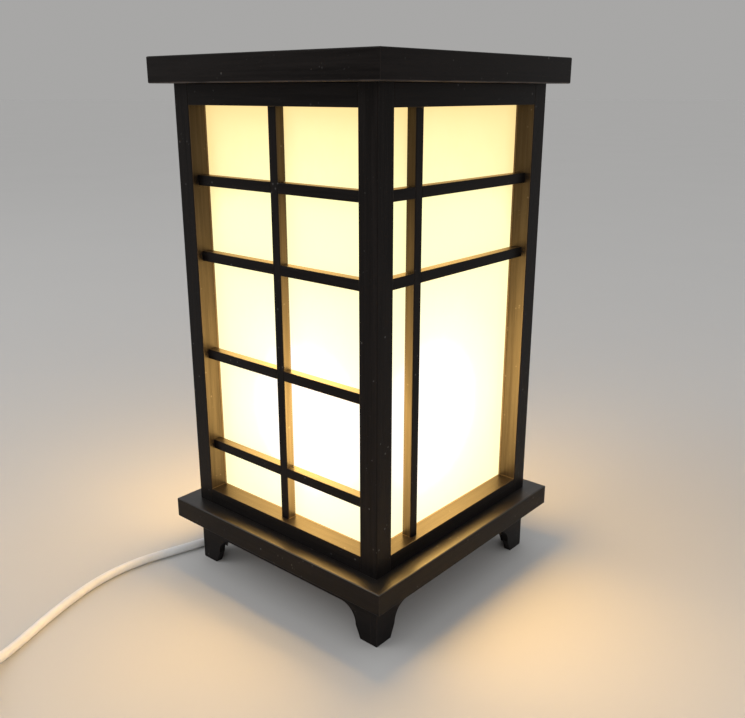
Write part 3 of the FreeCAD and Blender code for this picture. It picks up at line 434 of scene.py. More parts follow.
def effect(tree, name, **inputs):
    """One of the shared effects, made the first time it is used."""
    if name not in GROUPS:
        GROUPS[name] = make_group(*EFFECTS[name])
    return add(tree, "ShaderNodeGroup", inputs, node_tree=GROUPS[name]).outputs


# Finishes

GRAIN_TURNS = {"x": (0, 0, 0), "y": (0, 0, -math.pi / 2), "z": (0, math.pi / 2, 0)}
PAINT_PORES, PAINT_DUST = (0.003, 0.0026, 0.0024), (0.32, 0.30, 0.27)
PAINT_LINES, PAINT_SPECULAR = 520.0, 0.11
# Cover of the painted highlights, of the painted shadow line and of the pores
HIGHLIGHT_COVER, SHADOW_LINE_COVER, PORE_COVER = 0.8, 0.9, 0.5
INNER_SATIN, SHADOW_LINE_SATIN, LEDGE_SATIN = 0.42, 0.3, 0.9
COAT_ROUGH, COAT_IOR = 0.36, 1.65
# Band above the cap's lower edge where a highlight is painted
ARRIS_LOW, ARRIS_HIGH = 0.0005, 0.0010


def new_material(name):
    """A material's tree, its shader and its Object coordinates."""
    material = bpy.data.materials.new(name)
    material.use_nodes = True
    tree = material.node_tree
    tree.nodes.clear()
    shader = tree.nodes.new("ShaderNodeBsdfPrincipled")
    out = tree.nodes.new("ShaderNodeOutputMaterial")
    tree.links.new(shader.outputs[0], out.inputs[0])
    place = tree.nodes.new("ShaderNodeTexCoord").outputs["Object"]
    return material, tree, shader, place


def finish(tree, shader, colour, rough, height=None, depth=0.0, strength=0.0):
    """Link colour, roughness and bump to the shader."""
    tree.links.new(colour, shader.inputs["Base Color"])
    tree.links.new(rough, shader.inputs["Roughness"])
    if height is not None:
        inputs = {"Height": height, "Strength": strength, "Distance": depth}
        bump = add(tree, "ShaderNodeBump", inputs)
        tree.links.new(bump.outputs[0], shader.inputs["Normal"])


def dress(material, slot, *names):
    """Give CAD nodes a finish."""
    for name in names:
        mesh = NODES[name].data
        mesh.materials.clear()
        mesh.materials.append(material)


def grain_way(tree, place, axis):
    """Coordinates turned so that the grain runs along an axis."""
    inputs = {"Vector": place, "Rotation": GRAIN_TURNS[axis]}
    return add(tree, "ShaderNodeMapping", inputs).outputs[0]


def painted_wood(name, axis, wood, arris=None):
    """Black paint over fine grain along an axis; arris is the height of a lower edge with a painted
    highlight.
    """
    material, tree, shader, place = new_material(name)
    along = grain_way(tree, place, axis)
    grain = effect(tree, "grain", Vector=along, Lines=PAINT_LINES)
    scuffs = effect(tree, "scuffs", Vector=place, Amount=0.55)["Mask"]
    edge = effect(tree, "edge", Vector=place, Radius=wood.edge, Amount=0.45)["Mask"]
    dust = effect(tree, "dust", Vector=place, Amount=0.02)["Mask"]
    inner = effect(tree, "recess", Vector=place)
    worked = span(tree, grain["Tone"], 0.0, 1.0, bottom=0.6, top=1.0)
    colour = layered(
        tree, mix(tree, grain["Tone"], wood.paint, wood.thin_paint),
        # painted glow on the inner faces of the openings
        (times(tree, inner["Mask"], worked), wood.recess),
        # painted glow on top of the base
        (times(tree, inner["Ledge Glow"], worked), wood.ledge_glow),
        # painted highlights in pale lines
        (times(tree, inner["Painted Highlight"], HIGHLIGHT_COVER), wood.joint),
        # painted shadow line close to the sheets
        (times(tree, inner["Seam"], SHADOW_LINE_COVER), wood.paint),
        (times(tree, grain["Pores"], PORE_COVER), PAINT_PORES),
        (edge, wood.worn), (scuffs, wood.speck))
    # A painted highlight along the cap's lower arris, broken up by noise
    if arris is not None:
        height = parts(tree, place)["Z"]
        arris_highlight = span(tree, height, arris + ARRIS_LOW, arris + ARRIS_HIGH, bottom=1.0, top=0.0)
        broken = span(tree, noise(tree, along, scale=60.0), 0.25, 0.60, bottom=0.25, top=0.9)
        colour = mix(tree, times(tree, arris_highlight, broken), colour, wood.arris_highlight)
    colour = mix(tree, dust, colour, PAINT_DUST)
    rough = raised(tree, dust, by=2.0, base=raised(tree, grain["Tone"], by=0.16, base=0.29))
    satin = times(tree, times(tree, inner["Satin"], INNER_SATIN), worked)
    # Less satin on the painted shadow line
    satin = times(tree, satin, span(tree, inner["Seam"], 0.0, 1.0, bottom=1.0, top=SHADOW_LINE_SATIN))
    satin = raised(tree, inner["Ledge Glow"], by=LEDGE_SATIN, base=satin)
    tree.links.new(satin, shader.inputs["Coat Weight"])
    shader.inputs["Coat Roughness"].default_value = COAT_ROUGH
    shader.inputs["Coat IOR"].default_value = COAT_IOR
    shader.inputs["Specular IOR Level"].default_value = PAINT_SPECULAR
    shader.inputs["Specular Tint"].default_value = (*wood.sheen, 1.0)
    finish(tree, shader, colour, rough, grain["Height"], depth=0.00012, strength=0.45)
    return material


def plain_wood(name, axis, dark, pale, pore, lines=300.0, pores=0.5, gain=0.15, base=0.55):
    """Planed wood inside the lantern, bare or stained."""
    material, tree, shader, place = new_material(name)
    grain = effect(tree, "grain", Vector=grain_way(tree, place, axis), Lines=lines)
    colour = mix(tree, grain["Tone"], dark, pale)
    colour = mix(tree, times(tree, grain["Pores"], pores), colour, pore)
    rough = raised(tree, grain["Tone"], gain, base)
    finish(tree, shader, colour, rough, grain["Height"], depth=0.0001, strength=0.3)
    return material


def light_up(tree, shader, seen, level, tint):
    """Make a finish give light: up to white to the eye, and at its full level around it."""
    light = scaled(tree, tuple(tint), level)
    eye = add(tree, "ShaderNodeLightPath").outputs["Is Camera Ray"]
    tree.links.new(mix(tree, eye, light, seen), shader.inputs["Emission Color"])
    shader.inputs["Emission Strength"].default_value = 1.0


# Colours of the lit sheets and the lit bulb, from dim to bright
SHEET_GLOW = [
    (0.05, (0.047, 0.0345, 0.0125)),
    (0.12, (0.061, 0.0455, 0.0188)),
    (0.19, (0.092, 0.0605, 0.0320)),
    (0.42, (0.34, 0.21, 0.039)),
    (0.64, (0.58, 0.35, 0.049)),
    (0.80, (0.80, 0.48, 0.080)),
    (1.0, (1.0, 0.62, 0.22)),
]
BULB_GLOW = [
    (0.0, (0.42, 0.21, 0.06)),
    (0.35, (0.86, 0.56, 0.22)),
    (0.75, (1.0, 0.84, 0.52)),
    (1.0, (1.0, 0.98, 0.86)),
]
BULB_CAST, WHITE = (1.0, 0.72, 0.34), (1.0, 1.0, 1.0)
SHEET_EDGE, SHEET_EDGE_DIM = (0.058, 0.071), 0.88
FIBRE_STRETCH, LEVEL_ONLY = (1.0, 1.0, 0.4), (1.0, 1.0, 0.0)


def lit_sheet(glow):
    """Translucent fibrous sheet, lit from behind by the bulb."""
    material, tree, shader, place = new_material("Lit Sheet")
    normal = facing(tree)
    side = {axis: calc(tree, "ABSOLUTE", parts(tree, normal)[axis]) for axis in "XY"}
    hot = add(tree, "ShaderNodeCombineXYZ", {
        "X": times(tree, side["Y"], glow.shift), "Y": times(tree, side["X"], -glow.shift),
        "Z": glow.height}).outputs[0]
    near = calc(tree, "DIVIDE", glow.away, vectors(tree, "DISTANCE", place, hot, "Value"))
    near = times(tree, near, near)
    fibres = noise(tree, stretched(tree, place, FIBRE_STRETCH), 260.0, 8.0, 0.7)
    clouds = noise(tree, place, 45.0, 4.0, 0.6)
    mottle = raised(tree, fibres, by=0.10, base=times(tree, clouds, 0.08))
    lit = times(tree, near, calc(tree, "ADD", mottle, 0.91))
    away = [calc(tree, "ABSOLUTE", parts(tree, place)[axis]) for axis in "XY"]
    across = calc(tree, "MINIMUM", *away)
    lit = times(tree, lit, span(tree, across, *SHEET_EDGE, bottom=1.0, top=SHEET_EDGE_DIM))
    outward = vectors(tree, "DOT_PRODUCT", stretched(tree, place, LEVEL_ONLY), normal, "Value")
    level = times(tree, span(tree, outward, 0.0, 0.02, glow.inside, 1.0), glow.strength)
    bright = scaled(tree, ramp(tree, lit, SHEET_GLOW), level)
    seen = vectors(tree, "MINIMUM", bright, WHITE)
    light_up(tree, shader, seen, parts(tree, bright)["X"], glow.cast)
    paper = mix(tree, mottle, (0.42, 0.36, 0.24), (0.52, 0.46, 0.33))
    rough = raised(tree, fibres, by=0.2, base=0.55)
    finish(tree, shader, paper, rough, fibres, depth=0.0001, strength=0.2)
    return material


def frosted_glass(glow):
    """Frosted glass of the lit bulb, brightest towards its top."""
    material, tree, shader, place = new_material("Lit Frosted Glass")
    frost = noise(tree, place, scale=900.0, detail=3.0)
    low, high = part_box("bulb_glass")
    lit = span(tree, parts(tree, place)["Z"], low.z, high.z, bottom=0.0, top=0.97)
    lit = times(tree, lit, raised(tree, frost, by=0.1, base=0.95))
    seen = ramp(tree, lit, BULB_GLOW)
    light_up(tree, shader, seen, times(tree, lit, glow.bulb), BULB_CAST)
    shade = mix(tree, frost, (0.80, 0.76, 0.68), (0.88, 0.85, 0.78))
    rough = raised(tree, frost, by=0.2, base=0.38)
    finish(tree, shader, shade, rough, frost, depth=0.00003, strength=0.3)
    return material


def moulding(name, colour, scuffed, rough):
    """Moulded plastic with a fine skin."""
    material, tree, shader, place = new_material(name)
    skin = effect(tree, "mould", Vector=place, Scale=1800.0)
    scuffs = effect(tree, "scuffs", Vector=place, Amount=0.25)["Mask"]
    shade = layered(tree, mix(tree, skin["Tone"], colour, toned(colour, 0.93)), (scuffs, scuffed))
    gloss = raised(tree, skin["Tone"], by=0.10, base=rough)
    finish(tree, shader, shade, gloss, skin["Height"], depth=0.00003, strength=0.25)
    return material


def white_moulding():
    """The white plastic of grip, switch, plug and sleeves."""
    name = "White Moulding"
    return bpy.data.materials.get(name) or moulding(
        name, (0.72, 0.715, 0.69), (0.40, 0.38, 0.35), 0.34)


def metal(name, colour, dull, rough):
    """Drawn metal with faint marks and dull patches."""
    material, tree, shader, place = new_material(name)
    shader.inputs["Metallic"].default_value = 1.0
    clouds = span(tree, noise(tree, place, 180.0, 6.0, 0.7), 0.35, 0.70)
    lines = noise(tree, stretched(tree, place, (1.0, 1.0, 14.0)), scale=420.0, detail=3.0)
    scuffs = effect(tree, "scuffs", Vector=place, Amount=0.4)["Mask"]
    shade = layered(tree, mix(tree, clouds, colour, dull), (scuffs, toned(dull, 0.55)))
    gloss = raised(tree, clouds, by=0.16, base=rough)
    finish(tree, shader, shade, gloss, lines, depth=0.00003, strength=0.3)
    return material


def cord_sheath(cord):
    """Soft white sheath, a little soiled."""
    material, tree, shader, place = new_material("White Sheath")
    skin = effect(tree, "mould", Vector=place, Scale=1500.0)
    soil = span(tree, noise(tree, place, 130.0, 6.0, 0.7), 0.55, 0.80)
    shade = mix(tree, skin["Tone"], cord.colour, toned(cord.colour, 0.92))
    shade = mix(tree, times(tree, soil, 0.22), shade, (0.40, 0.37, 0.33))
    gloss = raised(tree, skin["Tone"], by=0.10, base=0.40)
    finish(tree, shader, shade, gloss, skin["Height"], depth=0.00004, strength=0.3)
    return material


def woven_band():
    """Dark woven band, ribbed across."""
    material, tree, shader, place = new_material("Woven Band")
    inputs = {"Vector": place, "Scale": 260.0, "Distortion": 0.6}
    rows = add(tree, "ShaderNodeTexWave", inputs, bands_direction="DIAGONAL").outputs["Fac"]
    fuzz = noise(tree, place, scale=2600.0, detail=3.0)
    shade = mix(tree, rows, (0.012, 0.012, 0.013), (0.035, 0.035, 0.038))
    shade = mix(tree, times(tree, fuzz, 0.3), shade, (0.08, 0.08, 0.085))
    gloss = raised(tree, fuzz, by=0.2, base=0.70)
    shader.inputs["Sheen Weight"].default_value = 0.3
    finish(tree, shader, shade, gloss, calc(tree, "ADD", rows, fuzz), depth=0.0002, strength=0.5)
    return material


# Modelling

ROUND_STEPS = 5
MERGE_DISTANCE = 1e-6
SLEEVE_SHARP = math.radians(35)


def clear_selection():
    """Nothing selected and nothing active, in object mode."""
    if bpy.context.object and bpy.context.object.mode != "OBJECT":
        bpy.ops.object.mode_set(mode="OBJECT")
    bpy.ops.object.select_all(action="DESELECT")
    bpy.context.view_layer.objects.active = None


def apply_place():
    """Put the active piece's place into its mesh."""
    bpy.ops.object.transform_apply(location=True, rotation=True, scale=True)


def settle(name, material):
    """Name the active piece, put its place into its mesh and give it its finish."""
    apply_place()
    piece = bpy.context.object
    piece.name = name
    piece.data.name = name
    piece.data.materials.clear()
    piece.data.materials.append(material)
    return piece


def pick_none(kind):
    """Choose faces or edges for selection in the active mesh, with none selected yet."""
    bpy.ops.object.mode_set(mode="EDIT")
    bpy.ops.mesh.select_mode(type=kind)
    bpy.ops.mesh.select_all(action="DESELECT")
    bpy.ops.object.mode_set(mode="OBJECT")
    return bpy.context.object.data


def pick_faces(test):
    """Select the active mesh's faces that the test chooses, and enter edit mode."""
    for face in pick_none("FACE").polygons:
        face.select = test(face)
    bpy.ops.object.mode_set(mode="EDIT")


def pick_edges(test):
    """Select the active mesh's edges whose two ends the test chooses, and enter edit mode."""
    mesh = pick_none("EDGE")
    for edge in mesh.edges:
        edge.select = test(*(mesh.vertices[number].co for number in edge.vertices))
    bpy.ops.object.mode_set(mode="EDIT")


def round_curve(name, kind, places, depth):
    """A capped round curve with one spline, and that spline."""
    curve = bpy.data.curves.new(name, "CURVE")
    curve.dimensions = "3D"
    curve.bevel_depth = depth
    curve.bevel_resolution = ROUND_STEPS
    curve.use_fill_caps = True
    spline = curve.splines.new(kind)
    spline.points.add(len(places) - 1)
    for point, place in zip(spline.points, places):
        point.co = (*place, 1.0)
    piece = bpy.data.objects.new(name, curve)
    bpy.context.scene.collection.objects.link(piece)
    return piece, spline


def sweep(name, places, radii, material):
    """A closed round bar along a line, with its own radius at each place."""
    bar, spline = round_curve(name, "POLY", places, depth=1.0)
    for point, radius in zip(spline.points, radii):
        point.radius = radius
    clear_selection()
    bar.select_set(True)
    bpy.context.view_layer.objects.active = bar
    bpy.ops.object.convert(target="MESH")
    bpy.ops.object.mode_set(mode="EDIT")
    bpy.ops.mesh.select_all(action="SELECT")
    bpy.ops.mesh.remove_doubles(threshold=MERGE_DISTANCE)
    bpy.ops.mesh.normals_make_consistent(inside=False)
    bpy.ops.object.mode_set(mode="OBJECT")
    bpy.ops.object.shade_smooth_by_angle(angle=SLEEVE_SHARP)
    return settle(name, material)


# Route of the cord

EXIT = (-0.048864, -0.017785, 0.016)
LEAD = [
    EXIT,
    (-0.060140, -0.021889, 0.016),
    (-0.0720, -0.0286, 0.0124),
    (-0.0815, -0.0380, 0.0084),
    (-0.0885, -0.0505, 0.0050),
    (-0.0932, -0.0645, 0.0033),
    (-0.0972, -0.0800, 0.003),
    (-0.1026, -0.0990, 0.003),
    (-0.1082, -0.1180, 0.003),
    (-0.1109, -0.1390, 0.003),
    (-0.1088, -0.1605, 0.003),
    (-0.1030, -0.1825, 0.003),
    (-0.0943, -0.2060, 0.003),
    (-0.0848, -0.2275, 0.003),
    (-0.0775, -0.2435, 0.0042),
    (-0.071851, -0.255427, 0.007),
]
SWITCH_START = Vector((-0.0671, -0.2659, 0.007))
SWITCH_DIP, DIP_SHARES = Vector((0, 0, -0.0026)), (0.3, 0.7)
LINK_RUN, TAIL_RUN = 0.009, 0.010
POINTS_A_TURN, RISE_TURNS = 24, 0.5
CORD_STEPS = 5


def way(angle):
    """A level direction."""
    return Vector((math.cos(angle), math.sin(angle), 0))


def coil_middle(cord):
    """Middle of the coil, with its first direction and its turns."""
    lean = math.atan2(cord.coil_pitch, 2 * math.pi * cord.coil_radius)
    first = cord.heading + math.pi / 2 + lean
    last = cord.plug_heading + math.pi / 2 - lean
    turns = (first - last) / (2 * math.pi) + cord.coil_loops
    before = cord.switch_length + cord.link_length + cord.diameter
    entry = SWITCH_START + way(cord.heading) * before
    middle = entry - way(first) * cord.coil_radius
    return Vector((middle.x, middle.y, 0)), first, turns


def coil_points(cord):
    """Control points of the coil: inward over the floor, up a layer, and outward again."""
    middle, first, turns = coil_middle(cord)
    layer = (turns - RISE_TURNS) / 2
    count = round(turns * POINTS_A_TURN)
    points = []
    for number in range(count + 1):
        turn = turns * number / count
        rise = min(max((turn - layer) / RISE_TURNS, 0), 1)
        inward = min(turn, turns - turn, layer)
        reach = cord.coil_radius - cord.coil_pitch * inward
        place = middle + way(first - 2 * math.pi * turn) * reach
        place.z = cord.coil_height + cord.coil_pitch * rise * rise * (3 - 2 * rise)
        points.append(place)
    return points


def cord_points(cord):
    """Control points of the whole cord, from grip to plug."""
    along, plug_way = way(cord.heading), way(cord.plug_heading)
    through = along * cord.switch_length
    switch_end = SWITCH_START + through
    inside = [SWITCH_START + through * share + SWITCH_DIP for share in DIP_SHARES]
    coil = coil_points(cord)
    coil_start = coil[0] - along * cord.diameter
    coil_end = coil[-1] + plug_way * cord.diameter
    plug_start = coil_end + plug_way * cord.tail_length
    plug_start.z = SWITCH_START.z
    return [
        *(Vector(point) for point in LEAD), SWITCH_START, *inside, switch_end,
        switch_end + along * LINK_RUN, coil_start - along * LINK_RUN, coil_start, *coil, coil_end,
        coil_end + plug_way * TAIL_RUN, plug_start - plug_way * TAIL_RUN, plug_start,
    ]


def centre_line(piece):
    """Points along a curve, read from its own spline."""
    plain = piece.copy()
    plain.data = piece.data.copy()
    plain.data.bevel_depth = 0.0
    mesh = bpy.data.meshes.new_from_object(plain)
    points = [vertex.co.copy() for vertex in mesh.vertices]
    bpy.data.meshes.remove(mesh)
    curve = plain.data
    bpy.data.objects.remove(plain)
    bpy.data.curves.remove(curve)
    return points


def walk(points, length, step):
    """Evenly spaced places along a line, from its first point."""
    places, gone, wanted = [], 0.0, 0.0
    for one, two in zip(points, points[1:]):
        run = (two - one).length
        while wanted <= min(gone + run, length):
            places.append(one.lerp(two, (wanted - gone) / run))
            wanted += step
        gone += run
    return places


# Stage

SENSOR_WIDTH, NEAR_CLIP = 36.0, 0.01
KEY_PLACE, KEY_SIZE = (-1.15, -1.45, 1.55), 1.3
FILL_PLACE, FILL_SIZE = (1.7, -0.5, 1.1), 1.2
LIGHTS_AIM = Vector((0, 0, 0.17))
FLOOR_RADIUS, FLOOR_CORNERS, FLOOR_SPECULAR = 40.0, 128, 0.2


class LANTERN_OT_stage(bpy.types.Operator):
    """Camera, wide pale floor, soft lights and sky"""

    bl_idname = "lantern.stage"
    bl_label = "Stage"

    def execute(self, context):
        scene, studio = context.scene, context.scene.lantern_studio
        scene.view_settings.view_transform = "Standard"
        camera = bpy.data.cameras.new("Camera")
        camera.sensor_fit = "HORIZONTAL"
        camera.sensor_width = SENSOR_WIDTH
        camera.lens = studio.lens
        camera.clip_start = NEAR_CLIP
        eye = bpy.data.objects.new("Camera", camera)
        eye.location = studio.eye
        eye.rotation_euler = studio.look
        scene.collection.objects.link(eye)
        scene.camera = eye
        self.floor(studio)
        self.lamp("Key", studio.key, KEY_PLACE, KEY_SIZE)
        self.lamp("Fill", studio.fill, FILL_PLACE, FILL_SIZE)
        scene.world = self.sky(studio)
        return {"FINISHED"}

    def sky(self, studio):
        """Even light, with the floor's own tone behind the floor."""
        world = bpy.data.worlds.new("Sky")
        world.use_nodes = True
        tree = world.node_tree
        tree.nodes.clear()
        lit = {"Color": (*WHITE, 1.0), "Strength": studio.sky}
        shown = {"Color": (*studio.floor, 1.0), "Strength": studio.backdrop}
        light, seen = (
            add(tree, "ShaderNodeBackground", inputs).outputs[0] for inputs in (lit, shown))
        path = tree.nodes.new("ShaderNodeLightPath").outputs
        plain = calc(tree, "MAXIMUM", path["Is Camera Ray"], path["Is Glossy Ray"])
        plain = calc(tree, "MAXIMUM", plain, path["Is Transmission Ray"])
        both = add(tree, "ShaderNodeMixShader", {0: plain, 1: light, 2: seen})
        out = tree.nodes.new("ShaderNodeOutputWorld")
        tree.links.new(both.outputs[0], out.inputs[0])
        return world

    def floor(self, studio):
        """A wide round floor."""
        clear_selection()
        bpy.ops.mesh.primitive_circle_add(
            vertices=FLOOR_CORNERS, radius=FLOOR_RADIUS, fill_type="NGON")
        material, tree, shader, place = new_material("Pale Floor")
        clouds = noise(tree, place, scale=3.0, detail=3.0)
        shade = mix(tree, clouds, studio.floor, toned(studio.floor, 0.97))
        finish(tree, shader, shade, raised(tree, clouds, by=0.1, base=0.7))
        shader.inputs["Specular IOR Level"].default_value = FLOOR_SPECULAR
        settle("Floor", material)

    def lamp(self, name, power, place, size):
        """A square soft light that faces the lantern."""
        light = bpy.data.lights.new(name, "AREA")
        light.energy = power
        light.size = size
        lamp = bpy.data.objects.new(name, light)
        lamp.location = place
        lamp.rotation_euler = (LIGHTS_AIM - Vector(place)).to_track_quat("-Z", "Y").to_euler()
        bpy.context.scene.collection.objects.link(lamp)


# Cord and the pieces on it

SLEEVE_STEP = 0.0004
COLLAR_STEPS, RIB_STEPS, GROOVE_STEPS = 10, 8, 3
TIE_TURNS, TIE_ROOM_INSIDE, TIE_ROOM_OUTSIDE = 3, 0.002, 0.001
TIE_CORNER, TIE_CORNER_STEPS = 0.0038, 6
LAP_RISE, LAP_SIZE = 1.15, (0.62, 0.9, 1)
OPEN_ENDS, TOP_FACES = 0.9, 0.95


class LANTERN_OT_cord(bpy.types.Operator):
    """White mains cord from the grip to the plug, with its coil in one line"""

    bl_idname = "lantern.cord"
    bl_label = "Cord"

    def execute(self, context):
        cord = context.scene.lantern_cord
        piece, spline = round_curve("mains_cord", "NURBS", cord_points(cord), cord.diameter / 2)
        spline.order_u = 3
        spline.use_endpoint_u = True
        piece.data.resolution_u = CORD_STEPS
        piece.data.materials.append(cord_sheath(cord))
        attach(piece, "lantern")
        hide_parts("cord_lead", "cord_link", "cord_coil", "cord_tail")
        return {"FINISHED"}


class LANTERN_OT_sleeves(bpy.types.Operator):
    """Ribbed sleeves on the cord, at both ends of the switch and at the plug"""

    bl_idname = "lantern.sleeves"
    bl_label = "Cord Sleeves"

    def execute(self, context):
        cord = context.scene.lantern_cord
        line = centre_line(bpy.data.objects["mains_cord"])
        switch_end = SWITCH_START + way(cord.heading) * cord.switch_length
        first, last = (
            min(range(len(line)), key=lambda number: (line[number] - place).length)
            for place in (SWITCH_START, switch_end))
        runs = {
            "switch_sleeve_in": line[first::-1],
            "switch_sleeve_out": line[last:],
            "plug_sleeve": line[::-1],
        }
        for name, run in runs.items():
            places = walk(run, cord.sleeve_length, SLEEVE_STEP)
            radii = [self.radius(cord, number, len(places)) for number in range(len(places))]
            piece = sweep(name, places, radii, white_moulding())
            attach(piece, "lantern")
        return {"FINISHED"}

    def radius(self, cord, number, count):
        """A sleeve's radius: a plain collar, and then a groove before every rib."""
        radius = cord.sleeve_thick + (cord.sleeve_thin - cord.sleeve_thick) * number / (count - 1)
        ribbed = COLLAR_STEPS <= number < count - RIB_STEPS
        grooved = ribbed and (number - COLLAR_STEPS) % RIB_STEPS < GROOVE_STEPS
        return radius - cord.sleeve_groove if grooved else radius


class LANTERN_OT_tie(bpy.types.Operator):
    """Woven band round the coil, its end lapped over on top"""

    bl_idname = "lantern.tie"
    bl_label = "Coil Tie"

    def execute(self, context):
        cord = context.scene.lantern_cord
        low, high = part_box("coil_tie")
        beside = 0.5 * cord.diameter + cord.tie_thickness
        inner = cord.coil_radius - TIE_TURNS * cord.coil_pitch - beside - TIE_ROOM_INSIDE
        outer = cord.coil_radius + beside + TIE_ROOM_OUTSIDE
        clear_selection()
        bpy.ops.mesh.primitive_cube_add(size=1, location=(0, 0, (low.z + high.z) / 2))
        bpy.ops.transform.resize(value=(outer - inner, cord.tie_width, high.z - low.z))
        apply_place()
        pick_faces(lambda face: abs(face.normal.y) > OPEN_ENDS)
        bpy.ops.mesh.delete(type="ONLY_FACE")
        pick_edges(lambda one, two: abs(one.y - two.y) > cord.tie_width / 2)
        bpy.ops.mesh.bevel(offset=TIE_CORNER, segments=TIE_CORNER_STEPS, affect="EDGES")
        pick_faces(lambda face: face.normal.z > TOP_FACES)
        rise = (0, 0, LAP_RISE * cord.tie_thickness)
        bpy.ops.mesh.duplicate_move(TRANSFORM_OT_translate={"value": rise})
        bpy.ops.transform.resize(value=LAP_SIZE, center_override=((outer - inner) / 2, 0, 0))
        bpy.ops.object.mode_set(mode="OBJECT")
        band = bpy.context.object
        wall = band.modifiers.new("Thickness", "SOLIDIFY")
        wall.thickness, wall.offset = cord.tie_thickness, -1
        bpy.ops.object.modifier_apply(modifier=wall.name)
        band.rotation_euler.z = cord.tie_angle
        band.location = coil_middle(cord)[0] + way(cord.tie_angle) * (inner + outer) / 2
        piece = settle("coil_band", woven_band())
        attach(piece, "lantern")
        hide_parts("coil_tie")
        return {"FINISHED"}


# Wood and sheets

class LANTERN_OT_frame_wood(bpy.types.Operator):
    """Black paint on cap, base, posts, rails, lattices and feet, each along its own grain"""

    bl_idname = "lantern.frame_wood"
    bl_label = "Black Wood"

    def execute(self, context):
        wood = context.scene.lantern_wood
        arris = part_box("cap_board_front")[0].z
        paint, cap = {}, {}
        for axis in "xyz":
            paint[axis] = painted_wood("Black Paint " + axis.upper(), axis, wood)
        for axis in "xy":
            cap[axis] = painted_wood("Black Cap Paint " + axis.upper(), axis, wood, arris)
        long = ("base_board_", "top_rail_", "bottom_rail_", "foot_board_")
        for side in SIDES:
            axis = "x" if side in ("front", "back") else "y"
            dress(paint[axis], "black_wood", *(name + side for name in long), side + "_crossbars")
            dress(cap[axis], "black_wood", "cap_board_" + side)
            dress(paint["z"], "black_wood", side + "_lattice_upright")
        posts = [name for name in NODES if name.startswith("post_")]
        dress(paint["z"], "black_wood", *posts)
        return {"FINISHED"}


class LANTERN_OT_inner_wood(bpy.types.Operator):
    """Bare strips, dowels and base panel, and stained corner blocks"""

    bl_idname = "lantern.inner_wood"
    bl_label = "Inner Wood"

    def execute(self, context):
        bare = plain_wood(
            "Bare Softwood", "z", (0.42, 0.25, 0.12), (0.62, 0.43, 0.24), (0.21, 0.125, 0.06))
        dress(bare, "plain_wood", "sheet_strips", "dowels")
        stained = plain_wood(
            "Stained Softwood", "z", (0.014, 0.010, 0.008), (0.026, 0.019, 0.015),
            (0.007, 0.005, 0.004))
        dress(stained, "plain_wood", "corner_blocks")
        board = plain_wood(
            "Thin Board", "x", (0.30, 0.18, 0.09), (0.50, 0.33, 0.18), (0.14, 0.08, 0.04),
            lines=190.0, pores=0.6, gain=0.12, base=0.58)
        dress(board, "plain_wood", "base_panel")
        return {"FINISHED"}


class LANTERN_OT_sheets(bpy.types.Operator):
    """Lit translucent sheets"""

    bl_idname = "lantern.sheets"
    bl_label = "Sheets"

    def execute(self, context):
        paper = lit_sheet(context.scene.lantern_glow)
        dress(paper, "glowing_sheet", *(side + "_sheet" for side in SIDES))
        return {"FINISHED"}


# Fittings

GRIP_MIDDLE = 0.024
HEAD_CORNERS, HEAD_SHARP = 32, math.radians(30)
DOME_SHARE, DOME_STEPS = 0.6, 4
HEAD_FACE, SLOT_INSET, SLOT_WIDTH, SLOT_DEPTH = 0.99, 0.12, 0.22, 0.5
CAP_CORNERS, CAP_SHARP = 64, math.radians(40)
CAP_LONG_EDGES, THREAD_CUTS = 0.001, 70


class LANTERN_OT_lampholder(bpy.types.Operator):
    """Lampholder, threaded tube, nuts and wires, and the white cord grip, switch and plug"""

    bl_idname = "lantern.lampholder"
    bl_label = "Lampholder"

    def execute(self, context):
        brass = metal("Brass", (0.72, 0.47, 0.16), (0.46, 0.28, 0.10), 0.26)
        dress(brass, "brass", "holder_tube", "tube_nuts", "holder_shell", "holder_contact")
        dark = moulding("Dark Resin", (0.024, 0.020, 0.017), (0.10, 0.09, 0.08), 0.30)
        dress(dark, "dark_moulding", "holder_body")
        wires = moulding("Wire Insulation", (0.62, 0.61, 0.58), (0.35, 0.33, 0.30), 0.42)
        dress(wires, "wire_insulation", "lead_cores")
        white = ("cord_grip", "switch_case", "switch_rocker", "plug_body")
        dress(white_moulding(), "white_moulding", *white)
        return {"FINISHED"}


